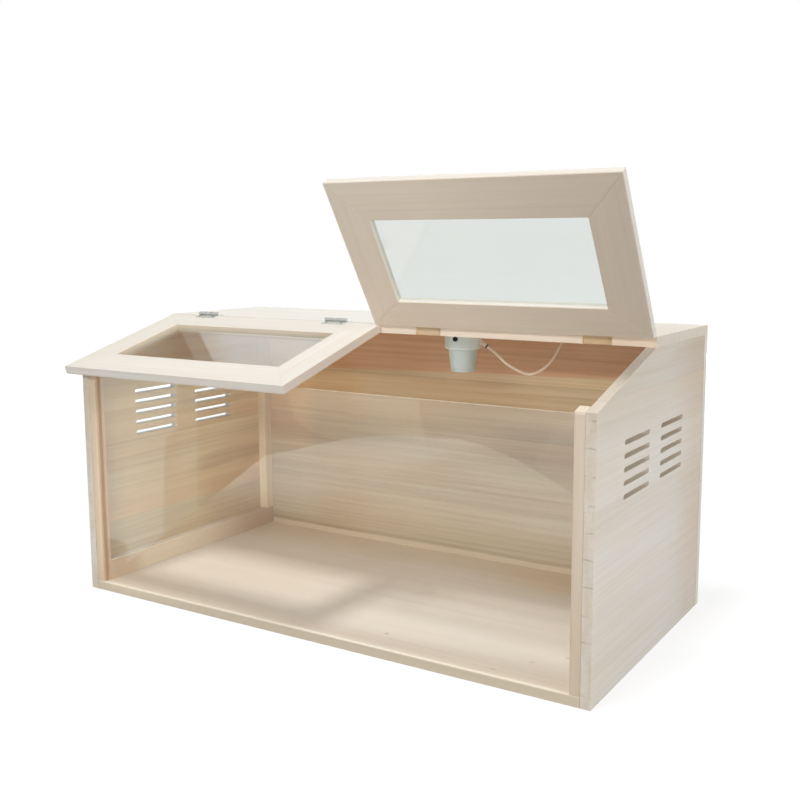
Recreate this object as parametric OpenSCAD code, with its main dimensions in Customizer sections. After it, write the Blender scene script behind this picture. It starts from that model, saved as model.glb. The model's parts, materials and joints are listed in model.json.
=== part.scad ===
// Chick brooder box: a low wooden box with a clear front, vented ends, two hinged
// glazed lids that fall to the front, and a bulb holder under the fixed roof board.
// Millimetres. X runs along the front, the front faces -Y, Z is up.
// The origin is the middle of the underside.

/* [Box] */
// Outside width of the box
box_w = 800; // [720:10:900]
// Outside depth of the box, front face to back face
box_d = 400; // [380:5:440]
// Outside height at the roof board
box_h = 400; // [370:5:440]
// Thickness of the boards
board_t = 13; // [12:0.5:15]
// Depth of the fixed roof board, from the back face
roof_d = 213; // [195:1:225]
// Fall of the closed lids, in degrees
lid_slope = 16; // [14:0.5:18]

/* [Battens and cleats] */
// Width of a front batten, along the front
batten_w = 13; // [11:0.5:18]
// Depth of a front batten, front to back
batten_d = 15; // [12:0.5:20]
// Width of a rear corner batten, along the back
corner_w = 15; // [10:0.5:20]
// Depth of a rear corner batten, front to back
corner_d = 18; // [12:0.5:24]
// Width of a floor cleat
cleat_w = 15; // [10:0.5:20]
// Height of a floor cleat
cleat_h = 30; // [20:1:40]

/* [Front pane] */
// Thickness of the clear front pane
pane_t = 3; // [2:0.5:4]
// Middle of the pane behind the front face
pane_inset = 6; // [5:0.5:8]
// Depth of the grooves in the front battens
batten_groove = 6; // [4:0.5:8]
// Depth of the groove in the floor board
floor_groove = 5; // [3:0.5:7]
// Fall of the pane's top edge below the top of the battens
pane_drop = 3; // [1:0.5:8]
// Play of a pane in its grooves, on each side
pane_play = 0.2; // [0.1:0.05:0.4]

/* [Vents] */
// Length of a vent slot
vent_l = 86; // [60:1:100]
// Height of a vent slot
vent_h = 6; // [4:0.5:9]
// Rows of slots in a column
vent_rows = 5; // [2:1:7]
// Distance between rows
vent_pitch = 16; // [12:1:20]
// Fall of the top row below the roof board
vent_drop = 100; // [90:1:130]
// Middle of the front column behind the front face
vent_front = 130; // [110:1:140]
// Distance between the two columns
vent_step = 127; // [115:1:140]

/* [Lids] */
// Thickness of a lid frame
lid_t = 12; // [10:0.5:14]
// Reach of the lids past the front face
lid_nose = 31; // [10:1:50]
// Reach of the lids past the end panels
lid_over = 1; // [0:0.5:4]
// Gap between the two lids
lid_mid = 2; // [1:0.5:5]
// Gap between a lid and the roof board
lid_gap = 1; // [0.8:0.1:2]
// Play under a closed lid
seat_gap = 0.3; // [0.2:0.1:1]
// Width of the stiles of a lid frame
stile_w = 50; // [35:1:65]
// Width of the rail that carries the hinges, as a share of the lid's depth
hinge_rail_share = 0.1945; // [0.15:0.0005:0.25]
// Width of the front rail, as a share of the lid's depth
front_rail_share = 0.243; // [0.16:0.0005:0.28]
// Thickness of a lid pane
lid_pane_t = 2.5; // [2:0.5:4]
// Depth of the grooves that hold a lid pane
lid_groove = 6; // [4:0.5:10]
// Opening of the right lid as it stands, in degrees
right_open = 74; // [0:1:110]

/* [Hinges] */
// Length of a hinge
hinge_l = 39; // [30:1:50]
// Width of a leaf from the pin
leaf_w = 12; // [10:0.5:16]
// Thickness of a leaf
leaf_t = 1.2; // [1:0.1:1.6]
// Diameter of the barrel
barrel_d = 5.2; // [4.6:0.2:6]
// Height of the barrel above the wood
barrel_lift = 0.2; // [0.2:0.1:0.6]
// Diameter of the pin
pin_d = 2.2; // [1.8:0.1:2.6]
// Play round the pin
pin_play = 0.05; // [0.03:0.01:0.08]
// Gap between knuckles
knuckle_gap = 0.6; // [0.4:0.1:1]
// Middle of an outer hinge from the end of the box
hinge_end = 77; // [60:1:110]
// Middle of an inner hinge from the middle of the box
hinge_mid = 77; // [60:1:110]
// Depth of the clearance notch in the roof's front edge
notch_d = 3; // [2:0.5:4]

/* [Screws] */
// Diameter of a hinge screw
screw_d = 2.6; // [2.2:0.1:3]
// Diameter of its countersunk head
screw_head_d = 4.6; // [4:0.1:4.8]
// Length of a hinge screw
screw_l = 9; // [7:0.5:10]
// Play round a screw
screw_play = 0.1; // [0.05:0.05:0.15]

/* [Bulb holder] */
// Holder's axis from the middle of the box
lamp_x = 76; // [60:1:90]
// Holder's axis from the back face
lamp_back = 113; // [100:1:125]
// Diameter of the canopy
canopy_d = 54; // [50:1:60]
// Height of the canopy
canopy_h = 27; // [25:1:32]
// Wall of the canopy
canopy_t = 3; // [2:0.5:4]
// Diameter of the cup at the canopy
cup_top_d = 45; // [42:0.5:48]
// Diameter of the cup at its mouth
cup_mouth_d = 38.7; // [35:0.1:42]
// Height of the cup
cup_h = 33; // [32:1:38]
// Thickness of the cup's closed end
cup_end_t = 5; // [4:0.5:6]
// Bore of the screw shell, for a 27 mm screw cap
socket_d = 26.5; // [26:0.1:27]
// Wall of the screw shell
shell_t = 0.6; // [0.4:0.1:1]
// Length of the screw shell
shell_l = 22; // [18:1:23]
// Set-back of the screw shell from the mouth
shell_in = 3; // [2:0.5:4]
// Diameter of the bottom contact
contact_d = 9; // [7:0.5:11]
// Height of the bottom contact
contact_h = 2; // [1:0.5:2.5]
// Width of the mounting strap in the canopy
strap_w = 16; // [12:1:20]
// Thickness of the mounting strap
strap_t = 2; // [1.5:0.5:2.5]
// Length of the strap's bent ears
ear_l = 16; // [14:1:18]
// Depth of the side screws below the roof board
side_screw_z = 11; // [9:1:12]
// Diameter of a side screw
side_screw_d = 3; // [2.5:0.5:4]
// Diameter of a side screw's head
side_head_d = 5.5; // [5:0.5:7]
// Height of a side screw's head
side_head_h = 2; // [1.5:0.5:3]

/* [Cord] */
// Diameter of the cord
cord_d = 4; // [3.6:0.1:4.2]
// Diameter of the gland at the canopy
gland_d = 8; // [7:0.5:9]
// Diameter of the gland at its tip
gland_tip_d = 5.6; // [5:0.1:6.5]
// Length of the gland outside the canopy
gland_l = 11; // [9:0.5:13]
// Depth of the gland below the roof board
gland_z = 17; // [15:0.5:18]
// Hole in the back wall, to the right of the holder's axis
hole_step = 128; // [115:1:140]
// Depth of the hole below the roof board
hole_drop = 9; // [8:0.5:12]
// Cord's fall behind the back face
lead_off = 25; // [25:1:30]
// Middle of the coil, to the left of the hole
coil_off = 84; // [76:1:92]
// Bore of the wall grommet
grommet_bore_d = 5; // [4.8:0.1:5.4]
// Diameter of the grommet's neck
grommet_neck_d = 9; // [8:0.5:10]
// Diameter of the grommet's flanges
grommet_d = 14; // [12:0.5:16]
// Thickness of a grommet flange
grommet_t = 1.5; // [1:0.5:2]
// Thickness of the ties round the coil
tie_t = 0.6; // [0.5:0.1:0.8]
// Width of a tie
tie_w = 4; // [3:0.5:6]
// Width of the plug
plug_w = 35; // [32:1:37]
// Length of the plug's body
plug_l = 38; // [32:1:42]
// Length of the plug's tapered tail
tail_l = 25; // [20:1:27]
// Diameter of a plug pin
plug_pin_d = 4; // [3.8:0.1:4.8]
// Length of a plug pin
plug_pin_l = 19; // [17:0.5:20]
// Distance between the plug pins
plug_pin_step = 18.6; // [17:0.1:19]

/* [Hidden] */
$fn = 64;

// Overrun of every cut past the face that it opens
cut = 1;

// Box: the planes that the boards share
front_y = -box_d / 2;
back_y = box_d / 2;
wall_y = back_y - board_t;
side_x = box_w / 2;
inner_x = side_x - board_t;
roof_z = box_h - board_t;
roof_y = back_y - roof_d;
vent_top = roof_z - vent_drop;

// Hinge line: the pin stands above the gap between roof and lids
pin_drop = barrel_d / 2 + barrel_lift;
pin_y = roof_y - lid_gap / 2;
pin_z = box_h + pin_drop;

// The end panels' tops run parallel to the closed lids' undersides
seat = pin_drop + lid_t + seat_gap;
function slope_z(y) = pin_z - seat / cos(lid_slope) + (y - pin_y) * tan(lid_slope);
front_h = slope_z(front_y);
break_y = pin_y + (roof_z - pin_z + seat / cos(lid_slope)) / tan(lid_slope);
side_outline = [
    [front_y, 0], [wall_y, 0], [wall_y, roof_z], [break_y, roof_z], [front_y, front_h]
];
batten_back = front_y + batten_d;
batten_outline = [
    [front_y, board_t], [batten_back, board_t], [batten_back, slope_z(batten_back)], [front_y, front_h]
];

// Front pane and its grooves
pane_y = front_y + pane_inset;
pane_slot = pane_t + 2 * pane_play;
groove_x = inner_x - batten_w + batten_groove;
groove_z = board_t - floor_groove;
pane_top = front_h - pane_drop;

// Lids, in a frame with the pin along X at its origin and the lid running to -Y
lid_bottom = -(pin_drop + lid_t);
lid_back = -(lid_gap / 2 + pin_drop * sin(lid_slope)) / cos(lid_slope);
lid_reach = (pin_y - front_y + lid_nose) / cos(lid_slope);
lid_xo = side_x + lid_over;
lid_xi = lid_mid / 2;
win_back = lid_back - lid_reach * hinge_rail_share;
win_front = lid_reach * front_rail_share - lid_reach;
lid_slot = lid_pane_t + pane_play;
mitre_y = lid_back - lid_t * tan(lid_slope) - lid_gap;
lid_mid_z = lid_bottom + lid_t / 2;

// Hinges: three knuckles, the middle one on the lid's leaf
hinge_x = [-(side_x - hinge_end), -hinge_mid, hinge_mid, side_x - hinge_end];
knuckle_l = (hinge_l - 2 * knuckle_gap) / 3;
pin_bore = pin_d + 2 * pin_play;
barrel_room = barrel_d + knuckle_gap;
screw_x_share = 1 / 3;
screw_y_share = 0.68;
screw_hole = screw_d + 2 * screw_play;
screw_sink = (screw_head_d - screw_d) / 2;

// Bulb holder, from the roof board down
lamp_y = back_y - lamp_back;
canopy_z = roof_z - canopy_h;
cup_z = canopy_z - cup_h;
canopy_r = canopy_d / 2;
strap_r = canopy_r - canopy_t - screw_play;
strap_hole_share = 0.55;
wire_hole = cord_d + cord_d / 2;
shell_d = socket_d + 2 * shell_t;

// Cord gland: it leaves the canopy to the right and a little downwards
gland_turn = 15;
gland_tilt = 35;
gland_root = [
    lamp_x + canopy_r * cos(gland_turn), lamp_y + canopy_r * sin(gland_turn), roof_z - gland_z
];
gland_way = [cos(gland_tilt) * cos(gland_turn), cos(gland_tilt) * sin(gland_turn), -sin(gland_tilt)];
gland_tip = gland_root + gland_l * gland_way;

// Cord's places: the hole under the roof board, and the fall of the cord behind the back
hole_x = lamp_x + hole_step;
hole_z = roof_z - hole_drop;
lead_y = back_y + lead_off;

// Cord coil: two layers of loops, in to the middle and out again
coil_pitch = cord_d + cord_d / 8;
coil_half = 1260;
coil_step = 15;
coil_climb = 180;
coil_in = 4 * cord_d;
coil_out = coil_in + coil_pitch * coil_half / 360;
coil_z1 = tie_t + tie_t / 2 + cord_d / 2;
coil_z2 = coil_z1 + coil_pitch;
coil_x = hole_x - coil_off;
coil_y = lead_y + coil_out;
coil_tail = 22;
coil_end = [coil_x - coil_tail, lead_y, coil_z2];

// Slack loop inside: shares of the way from the gland to the hole in X and in Y, and the
// fall below the roof board
slack = [
    [0.1204, 0.0626, 33], [0.2384, 0.1398, 46], [0.3886, 0.2501, 57], [0.5387, 0.3714, 64],
    [0.6889, 0.4927, 59], [0.8176, 0.603, 46], [0.8927, 0.6692, 31], [0.9356, 0.7353, 19],
    [0.9785, 0.8346, 11], [1, 0.9559, hole_drop]
];
route_inside = [
    for (p = slack) [
        gland_tip[0] + p[0] * (hole_x - gland_tip[0]),
        gland_tip[1] + p[1] * (wall_y - gland_tip[1]),
        roof_z - p[2]
    ]
];

// Then through the wall, round a bend, down behind the back, and along the floor to the coil
bend_top = 21;
bend_floor = 28;
bend_angles = [0, 25, 50, 75];
drop_steps = 12;
run_steps = 3;
drop_from = hole_z - bend_top;
drop_to = coil_z1 + bend_floor;
run_from = hole_x - bend_floor;
run_to = coil_x + cord_d;
route_wall = concat(
    [[hole_x, wall_y + board_t / 2, hole_z]],
    [
        for (a = bend_angles)
            [hole_x, lead_y - bend_top + bend_top * sin(a), drop_from + bend_top * cos(a)]
    ]
);
route_drop = [
    for (i = [0 : drop_steps]) [hole_x, lead_y, drop_from + (drop_to - drop_from) * i / drop_steps]
];
route_floor = [
    for (a = [30 : 30 : 90]) [run_from + bend_floor * cos(a), lead_y, drop_to - bend_floor * sin(a)]
];
route_run = [
    for (i = [1 : run_steps]) [run_from + (run_to - run_from) * i / run_steps, lead_y, coil_z1]
];
route = concat(
    [gland_tip, gland_tip + cord_d * gland_way],
    route_inside, route_wall, route_drop, route_floor, route_run
);
lead_sides = 8;
coil_sides = 6;

// Smooth curve through a list of points, with one more point between each two
function blend(a, b, c, d) = (9 * (b + c) - a - d) / 16;
function between(p, i) = blend(
    i > 0 ? p[i - 1] : 2 * p[i] - p[i + 1], p[i], p[i + 1],
    i + 2 < len(p) ? p[i + 2] : 2 * p[i + 1] - p[i]
);
function smooth(p) = concat(
    [for (i = [0 : len(p) - 2]) each [p[i], between(p, i)]],
    [p[len(p) - 1]]
);

// Tube along a list of points: directions, carried normals, rings and skin
function unit(v) = v / norm(v);
function way(p, i) = unit(p[min(i + 1, len(p) - 1)] - p[max(i - 1, 0)]);
function square_to(n, t) = unit(n - t * (n * t));
function carry(p, n, i, out) = i == len(p)
    ? out
    : let (m = square_to(n, way(p, i))) carry(p, m, i + 1, concat(out, [m]));
function ring(c, t, m, r, sides) = [
    for (k = [0 : sides - 1]) c + r * (cos(360 * k / sides) * m + sin(360 * k / sides) * cross(t, m))
];
function run_length(p) = len(p) < 2 ? 0 : run_sum(p, 1, 0);
function run_sum(p, i, s) = i == len(p) ? s : run_sum(p, i + 1, s + norm(p[i] - p[i - 1]));

// Coil's centre line: the radius falls to the middle of the winding and grows again
function ease(s) = s <= 0 ? 0 : s >= 1 ? 1 : s * s * (3 - 2 * s);
function coil_r(a) = coil_in + coil_pitch * abs(a - coil_half) / 360;
function coil_z(a) = coil_z1 + coil_pitch * ease((a - coil_half + coil_climb / 2) / coil_climb);
function coil_point(a) = [
    coil_x - coil_r(a) * sin(a), coil_y - coil_r(a) * cos(a), coil_z(a)
];
coil_loops = [for (a = [0 : coil_step : 2 * coil_half]) coil_point(a)];
coil_line = concat([[coil_x + cord_d, lead_y, coil_z1]], coil_loops, [coil_end]);
lead_line = smooth(route);
coil_near = 360 / coil_step / 2;
coil_gap = min([
    for (i = [0 : len(coil_loops) - 1])
        for (j = [i + coil_near : 1 : len(coil_loops) - 1])
            norm(coil_loops[i] - coil_loops[j])
]) - cord_d;
echo(coil_gap = coil_gap);
echo(cord_length = run_length(lead_line) + run_length(coil_line));

// Shared shapes

// Flat piece with an outline in Y and Z, standing across X
module end_plate(outline, x, t) {
    translate([x, 0, 0])
        rotate([90, 0, 90])
            linear_extrude(t)
                polygon(outline);
}

// Slot with round ends along Y, cut through along X
module vent_slot(x, y, z) {
    run = vent_l - vent_h;
    deep = board_t + 2 * cut;
    translate([x - cut, y, z]) {
        translate([0, -run / 2, -vent_h / 2])
            cube([deep, run, vent_h]);
        for (s = [-1, 1])
            translate([0, s * run / 2, 0])
                rotate([0, 90, 0])
                    cylinder(d = vent_h, h = deep);
    }
}

// End panel with its two columns of vents
module side_panel(x) {
    difference() {
        end_plate(side_outline, x, board_t);
        for (c = [0, 1])
            for (r = [0 : vent_rows - 1])
                vent_slot(x, front_y + vent_front + c * vent_step, vent_top - r * vent_pitch);
    }
}

// Front batten with the groove for the pane; s is -1 on the left and 1 on the right
module front_batten(s) {
    x = s < 0 ? -inner_x : inner_x - batten_w;
    slot_x = s < 0 ? -groove_x : groove_x - batten_groove - cut;
    difference() {
        end_plate(batten_outline, x, batten_w);
        translate([slot_x, pane_y - pane_slot / 2, 0])
            cube([batten_groove + cut, pane_slot, box_h]);
    }
}

module rear_batten(s) {
    x = s < 0 ? -inner_x : inner_x - corner_w;
    z = board_t + cleat_h;
    translate([x, wall_y - corner_d, z])
        cube([corner_w, corner_d, roof_z - z]);
}

module floor_cleat(s) {
    x = s < 0 ? -inner_x : inner_x - cleat_w;
    translate([x, batten_back, board_t])
        cube([cleat_w, wall_y - batten_back, cleat_h]);
}

// Places a lid's own frame on the box: the left lid is shut, the right one stands open
module on_lid(s) {
    translate([0, pin_y, pin_z])
        rotate([lid_slope - (s < 0 ? 0 : right_open), 0, 0])
            children();
}

// One mitred bar of a lid frame from its outline, with the pane's groove
module lid_bar(s, outline) {
    long = lid_xo - lid_xi;
    win_x = lid_xi + stile_w - lid_groove;
    win_l = long - 2 * (stile_w - lid_groove);
    win_y = win_front - lid_groove;
    win_w = win_back - win_front + 2 * lid_groove;
    difference() {
        translate([0, 0, lid_bottom])
            linear_extrude(lid_t)
                polygon([for (p = outline) [s * p[0], p[1]]]);
        translate([s < 0 ? -win_x - win_l : win_x, win_y, lid_mid_z - lid_slot / 2])
            cube([win_l, win_w, lid_slot]);
    }
}

module stile_outer(s) {
    x = lid_xo - stile_w;
    lid_bar(s, [[lid_xo, mitre_y], [lid_xo, -lid_reach], [x, win_front], [x, win_back]]);
}

module stile_inner(s) {
    x = lid_xi + stile_w;
    lid_bar(s, [[lid_xi, mitre_y], [lid_xi, -lid_reach], [x, win_front], [x, win_back]]);
}

module front_rail(s) {
    lid_bar(s, [
        [lid_xi, -lid_reach], [lid_xo, -lid_reach],
        [lid_xo - stile_w, win_front], [lid_xi + stile_w, win_front]
    ]);
}

// Rail along the hinges: its back edge stands upright when the lid is shut, and it has
// the pilot holes of two hinges
module hinge_rail(s) {
    difference() {
        lid_bar(s, [
            [lid_xi, lid_back], [lid_xo, lid_back], [lid_xo, mitre_y],
            [lid_xo - stile_w, win_back], [lid_xi + stile_w, win_back], [lid_xi, mitre_y]
        ]);
        rotate([-lid_slope, 0, 0])
            translate([-2 * lid_xo, -lid_gap / 2, -lid_reach])
                cube([4 * lid_xo, lid_reach, 2 * lid_reach]);
        for (x = s < 0 ? [hinge_x[0], hinge_x[1]] : [hinge_x[2], hinge_x[3]])
            lid_side(x)
                at_screws()
                    pilot();
    }
}

module lid_pane(s) {
    edge = lid_groove - pane_play;
    x = lid_xi + stile_w - edge;
    l = lid_xo - lid_xi - 2 * (stile_w - edge);
    translate([s < 0 ? -x - l : x, win_front - edge, lid_mid_z - lid_pane_t / 2])
        cube([l, win_back - win_front + 2 * edge, lid_pane_t]);
}

// Places a leaf with its pin along X: on the roof, or turned round onto a lid
module roof_side(x) {
    translate([x, pin_y, pin_z])
        children();
}

module lid_side(x) {
    translate([x, 0, 0])
        rotate([0, 0, 180])
            children();
}

// Screw places on a leaf, on top of it
module at_screws() {
    for (s = [-1, 1])
        translate([s * hinge_l * screw_x_share, leaf_w * screw_y_share, leaf_t - pin_drop])
            children();
}

module pilot() {
    translate([0, 0, -screw_l - cut])
        cylinder(d = screw_hole, h = screw_l + 2 * cut);
}

// Countersunk screw with a slot across its head, its top at the origin
module screw(long) {
    difference() {
        union() {
            translate([0, 0, -long])
                cylinder(d = screw_d, h = long);
            translate([0, 0, -screw_sink])
                cylinder(d1 = screw_d, d2 = screw_head_d, h = screw_sink);
        }
        translate([0, 0, -screw_sink / 4])
            cube([screw_head_d + cut, screw_sink / 2, screw_sink], center = true);
    }
}

module screw_seat() {
    pilot();
    translate([0, 0, -screw_sink])
        cylinder(d1 = screw_hole, d2 = screw_head_d + 2 * screw_play, h = screw_sink);
    cylinder(d = screw_head_d + 2 * screw_play, h = cut);
}

// Knuckle number k of three, or the room that the other leaf leaves for it
module knuckle(k, d, more) {
    translate([-hinge_l / 2 + k * (knuckle_l + knuckle_gap) - more, 0, 0])
        rotate([0, 90, 0])
            cylinder(d = d, h = knuckle_l + 2 * more);
}

// Hinge leaf with its knuckles round the pin along X and its plate towards +Y
module leaf(own, other) {
    difference() {
        union() {
            translate([-hinge_l / 2, 0, -pin_drop])
                cube([hinge_l, leaf_w, leaf_t]);
            for (k = own)
                knuckle(k, barrel_d, 0);
        }
        for (k = other)
            knuckle(k, barrel_room, knuckle_gap / 2);
        translate([-hinge_l / 2 - cut, 0, 0])
            rotate([0, 90, 0])
                cylinder(d = pin_bore, h = hinge_l + 2 * cut);
        at_screws()
            screw_seat();
    }
}

module roof_leaf(i) {
    roof_side(hinge_x[i])
        leaf([0, 2], [1]);
}

module lid_leaf(i) {
    on_lid(i < 2 ? -1 : 1)
        lid_side(hinge_x[i])
            leaf([1], [0, 2]);
}

module leaf_screws(s) {
    on_lid(s)
        for (x = s < 0 ? [hinge_x[0], hinge_x[1]] : [hinge_x[2], hinge_x[3]])
            lid_side(x)
                at_screws()
                    screw(screw_l);
}

// Bulb holder's own frame: its axis, at the roof board's underside
module at_lamp() {
    translate([lamp_x, lamp_y, roof_z])
        children();
}

// Side screws' axes, running outwards to the front and to the back
module at_side_screws() {
    for (a = [-90, 90])
        translate([0, 0, -side_screw_z])
            rotate([0, 0, a])
                rotate([0, 90, 0])
                    children();
}

// Strap screws' places, heads down
module at_strap_screws() {
    for (s = [-1, 1])
        translate([0, s * strap_r * strap_hole_share, -strap_t])
            rotate([180, 0, 0])
                children();
}

// Gland's own frame: its axis along +Z, starting on the canopy's wall
module at_gland() {
    translate(gland_root)
        rotate([0, 90 + gland_tilt, gland_turn])
            children();
}

// Tube of a given diameter along a line of points
module tube(line, d, sides) {
    last = len(line) - 1;
    normals = carry(line, [0, 0.3, 1], 0, []);
    rings = [for (i = [0 : last]) each ring(line[i], way(line, i), normals[i], d / 2, sides)];
    skin = [
        for (i = [0 : last - 1])
            for (k = [0 : sides - 1])
                let (a = i * sides + k, b = i * sides + (k + 1) % sides)
                    each [[a, a + sides, b], [b, a + sides, b + sides]]
    ];
    first_end = [for (k = [0 : sides - 1]) k];
    last_end = [for (k = [sides - 1 : -1 : 0]) last * sides + k];
    polyhedron(points = rings, faces = concat(skin, [first_end, last_end]));
}

// Box boards

module floor_board() {
    color("wheat")
        difference() {
            translate([-inner_x, front_y, 0])
                cube([2 * inner_x, wall_y - front_y, board_t]);
            translate([-groove_x, pane_y - pane_slot / 2, groove_z])
                cube([2 * groove_x, pane_slot, floor_groove + cut]);
        }
}

module side_panel_left() {
    color("wheat")
        side_panel(-side_x);
}

module side_panel_right() {
    color("wheat")
        side_panel(inner_x);
}

module back_panel() {
    color("tan")
        difference() {
            translate([-side_x, wall_y, 0])
                cube([box_w, board_t, roof_z]);
            translate([hole_x, wall_y - cut, hole_z])
                rotate([-90, 0, 0])
                    cylinder(d = grommet_neck_d + 2 * screw_play, h = board_t + 2 * cut);
        }
}

module roof_board() {
    color("antiquewhite")
        difference() {
            translate([-side_x, roof_y, roof_z])
                cube([box_w, roof_d, board_t]);
            for (x = hinge_x)
                translate([x - hinge_l / 2, roof_y - cut, roof_z - cut])
                    cube([hinge_l, notch_d + cut, board_t + 2 * cut]);
            for (x = hinge_x)
                roof_side(x)
                    at_screws()
                        pilot();
            at_lamp()
                at_strap_screws()
                    pilot();
        }
}

module front_batten_left() {
    color("tan")
        front_batten(-1);
}

module front_batten_right() {
    color("tan")
        front_batten(1);
}

module rear_batten_left() {
    color("burlywood")
        rear_batten(-1);
}

module rear_batten_right() {
    color("burlywood")
        rear_batten(1);
}

module floor_cleat_left() {
    color("wheat")
        floor_cleat(-1);
}

module floor_cleat_right() {
    color("wheat")
        floor_cleat(1);
}

module front_pane() {
    half = groove_x - pane_play;
    color("aliceblue", 0.35)
        translate([-half, pane_y - pane_t / 2, groove_z])
            cube([2 * half, pane_t, pane_top - groove_z]);
}

// Lids

module lid_left_stile_outer() {
    color("antiquewhite")
        on_lid(-1)
            stile_outer(-1);
}

module lid_left_stile_inner() {
    color("antiquewhite")
        on_lid(-1)
            stile_inner(-1);
}

module lid_left_hinge_rail() {
    color("antiquewhite")
        on_lid(-1)
            hinge_rail(-1);
}

module lid_left_front_rail() {
    color("antiquewhite")
        on_lid(-1)
            front_rail(-1);
}

module lid_left_pane() {
    color("aliceblue", 0.35)
        on_lid(-1)
            lid_pane(-1);
}

module lid_right_stile_outer() {
    color("antiquewhite")
        on_lid(1)
            stile_outer(1);
}

module lid_right_stile_inner() {
    color("antiquewhite")
        on_lid(1)
            stile_inner(1);
}

module lid_right_hinge_rail() {
    color("antiquewhite")
        on_lid(1)
            hinge_rail(1);
}

module lid_right_front_rail() {
    color("antiquewhite")
        on_lid(1)
            front_rail(1);
}

module lid_right_pane() {
    color("aliceblue", 0.35)
        on_lid(1)
            lid_pane(1);
}

// Hinges, numbered from the left

module hinge_1_roof_leaf() {
    color("silver")
        roof_leaf(0);
}

module hinge_2_roof_leaf() {
    color("silver")
        roof_leaf(1);
}

module hinge_3_roof_leaf() {
    color("silver")
        roof_leaf(2);
}

module hinge_4_roof_leaf() {
    color("silver")
        roof_leaf(3);
}

module hinge_1_lid_leaf() {
    color("silver")
        lid_leaf(0);
}

module hinge_2_lid_leaf() {
    color("silver")
        lid_leaf(1);
}

module hinge_3_lid_leaf() {
    color("silver")
        lid_leaf(2);
}

module hinge_4_lid_leaf() {
    color("silver")
        lid_leaf(3);
}

module hinge_pins() {
    color("gray")
        for (x = hinge_x)
            roof_side(x - hinge_l / 2)
                rotate([0, 90, 0])
                    cylinder(d = pin_d, h = hinge_l);
}

module roof_leaf_screws() {
    color("dimgray")
        for (x = hinge_x)
            roof_side(x)
                at_screws()
                    screw(screw_l);
}

module lid_left_leaf_screws() {
    color("dimgray")
        leaf_screws(-1);
}

module lid_right_leaf_screws() {
    color("dimgray")
        leaf_screws(1);
}

// Bulb holder

module lamp_canopy() {
    color("ghostwhite")
        difference() {
            translate([lamp_x, lamp_y, canopy_z])
                cylinder(d = canopy_d, h = canopy_h);
            translate([lamp_x, lamp_y, canopy_z + canopy_t])
                cylinder(d = canopy_d - 2 * canopy_t, h = canopy_h);
            translate([lamp_x, lamp_y, canopy_z - cut])
                cylinder(d = wire_hole, h = canopy_t + 2 * cut);
            at_lamp()
                at_side_screws()
                    translate([0, 0, strap_r])
                        cylinder(d = side_screw_d + 2 * screw_play, h = canopy_t + 2 * cut);
            at_gland()
                translate([0, 0, -2 * canopy_t])
                    cylinder(d = gland_d + 2 * screw_play, h = 2 * canopy_t + gland_d);
        }
}

module lamp_cup() {
    color("ghostwhite")
        translate([lamp_x, lamp_y, cup_z])
            difference() {
                cylinder(d1 = cup_mouth_d, d2 = cup_top_d, h = cup_h);
                translate([0, 0, -cut])
                    cylinder(d = shell_d + 2 * screw_play, h = cup_h - cup_end_t + cut);
                cylinder(d = wire_hole, h = cup_h + cut);
            }
}

module lamp_screw_shell() {
    color("gold")
        translate([lamp_x, lamp_y, cup_z + shell_in])
            difference() {
                cylinder(d = shell_d, h = shell_l);
                translate([0, 0, -cut])
                    cylinder(d = socket_d, h = shell_l + 2 * cut);
            }
}

module lamp_contact() {
    color("gold")
        translate([lamp_x, lamp_y, cup_z + cup_h - cup_end_t - contact_h])
            cylinder(d = contact_d, h = contact_h);
}

// Strap across the canopy, with ears bent down at the front and the back
module lamp_strap() {
    color("silver")
        at_lamp()
            difference() {
                intersection() {
                    translate([0, 0, -ear_l])
                        cylinder(r = strap_r, h = ear_l);
                    translate([-strap_w / 2, -strap_r, -ear_l])
                        cube([strap_w, 2 * strap_r, ear_l]);
                }
                translate([-strap_w, strap_t + strap_t - strap_r, -ear_l - cut])
                    cube([2 * strap_w, 2 * (strap_r - strap_t - strap_t), ear_l - strap_t + cut]);
                at_side_screws()
                    cylinder(d = side_screw_d + 2 * screw_play, h = canopy_r);
                at_strap_screws()
                    screw_seat();
            }
}

module lamp_strap_screws() {
    color("dimgray")
        at_lamp()
            at_strap_screws()
                screw(screw_l);
}

module lamp_side_screws() {
    color("black")
        at_lamp()
            at_side_screws() {
                translate([0, 0, strap_r - 3 * strap_t])
                    cylinder(d = side_screw_d, h = canopy_r - strap_r + 3 * strap_t);
                translate([0, 0, canopy_r])
                    cylinder(d = side_head_d, h = side_head_h);
            }
}

// Cord and plug

module cord_gland() {
    color("darkslategray")
        at_gland() {
            translate([0, 0, -canopy_t])
                cylinder(d = gland_d, h = canopy_t + gland_l / 4);
            translate([0, 0, gland_l / 4])
                cylinder(d1 = gland_d, d2 = gland_tip_d, h = gland_l - gland_l / 4);
        }
}

module wall_grommet() {
    color("darkslategray")
        translate([hole_x, wall_y, hole_z])
            rotate([-90, 0, 0])
                difference() {
                    union() {
                        cylinder(d = grommet_neck_d, h = board_t);
                        translate([0, 0, -grommet_t])
                            cylinder(d = grommet_d, h = grommet_t);
                        translate([0, 0, board_t])
                            cylinder(d = grommet_d, h = grommet_t);
                    }
                    translate([0, 0, -grommet_t - cut])
                        cylinder(d = grommet_bore_d, h = board_t + 2 * grommet_t + 2 * cut);
                }
}

module cord_lead() {
    color("white")
        tube(lead_line, cord_d, lead_sides);
}

module cord_coil() {
    color("white")
        tube(coil_line, cord_d, coil_sides);
}

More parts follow.
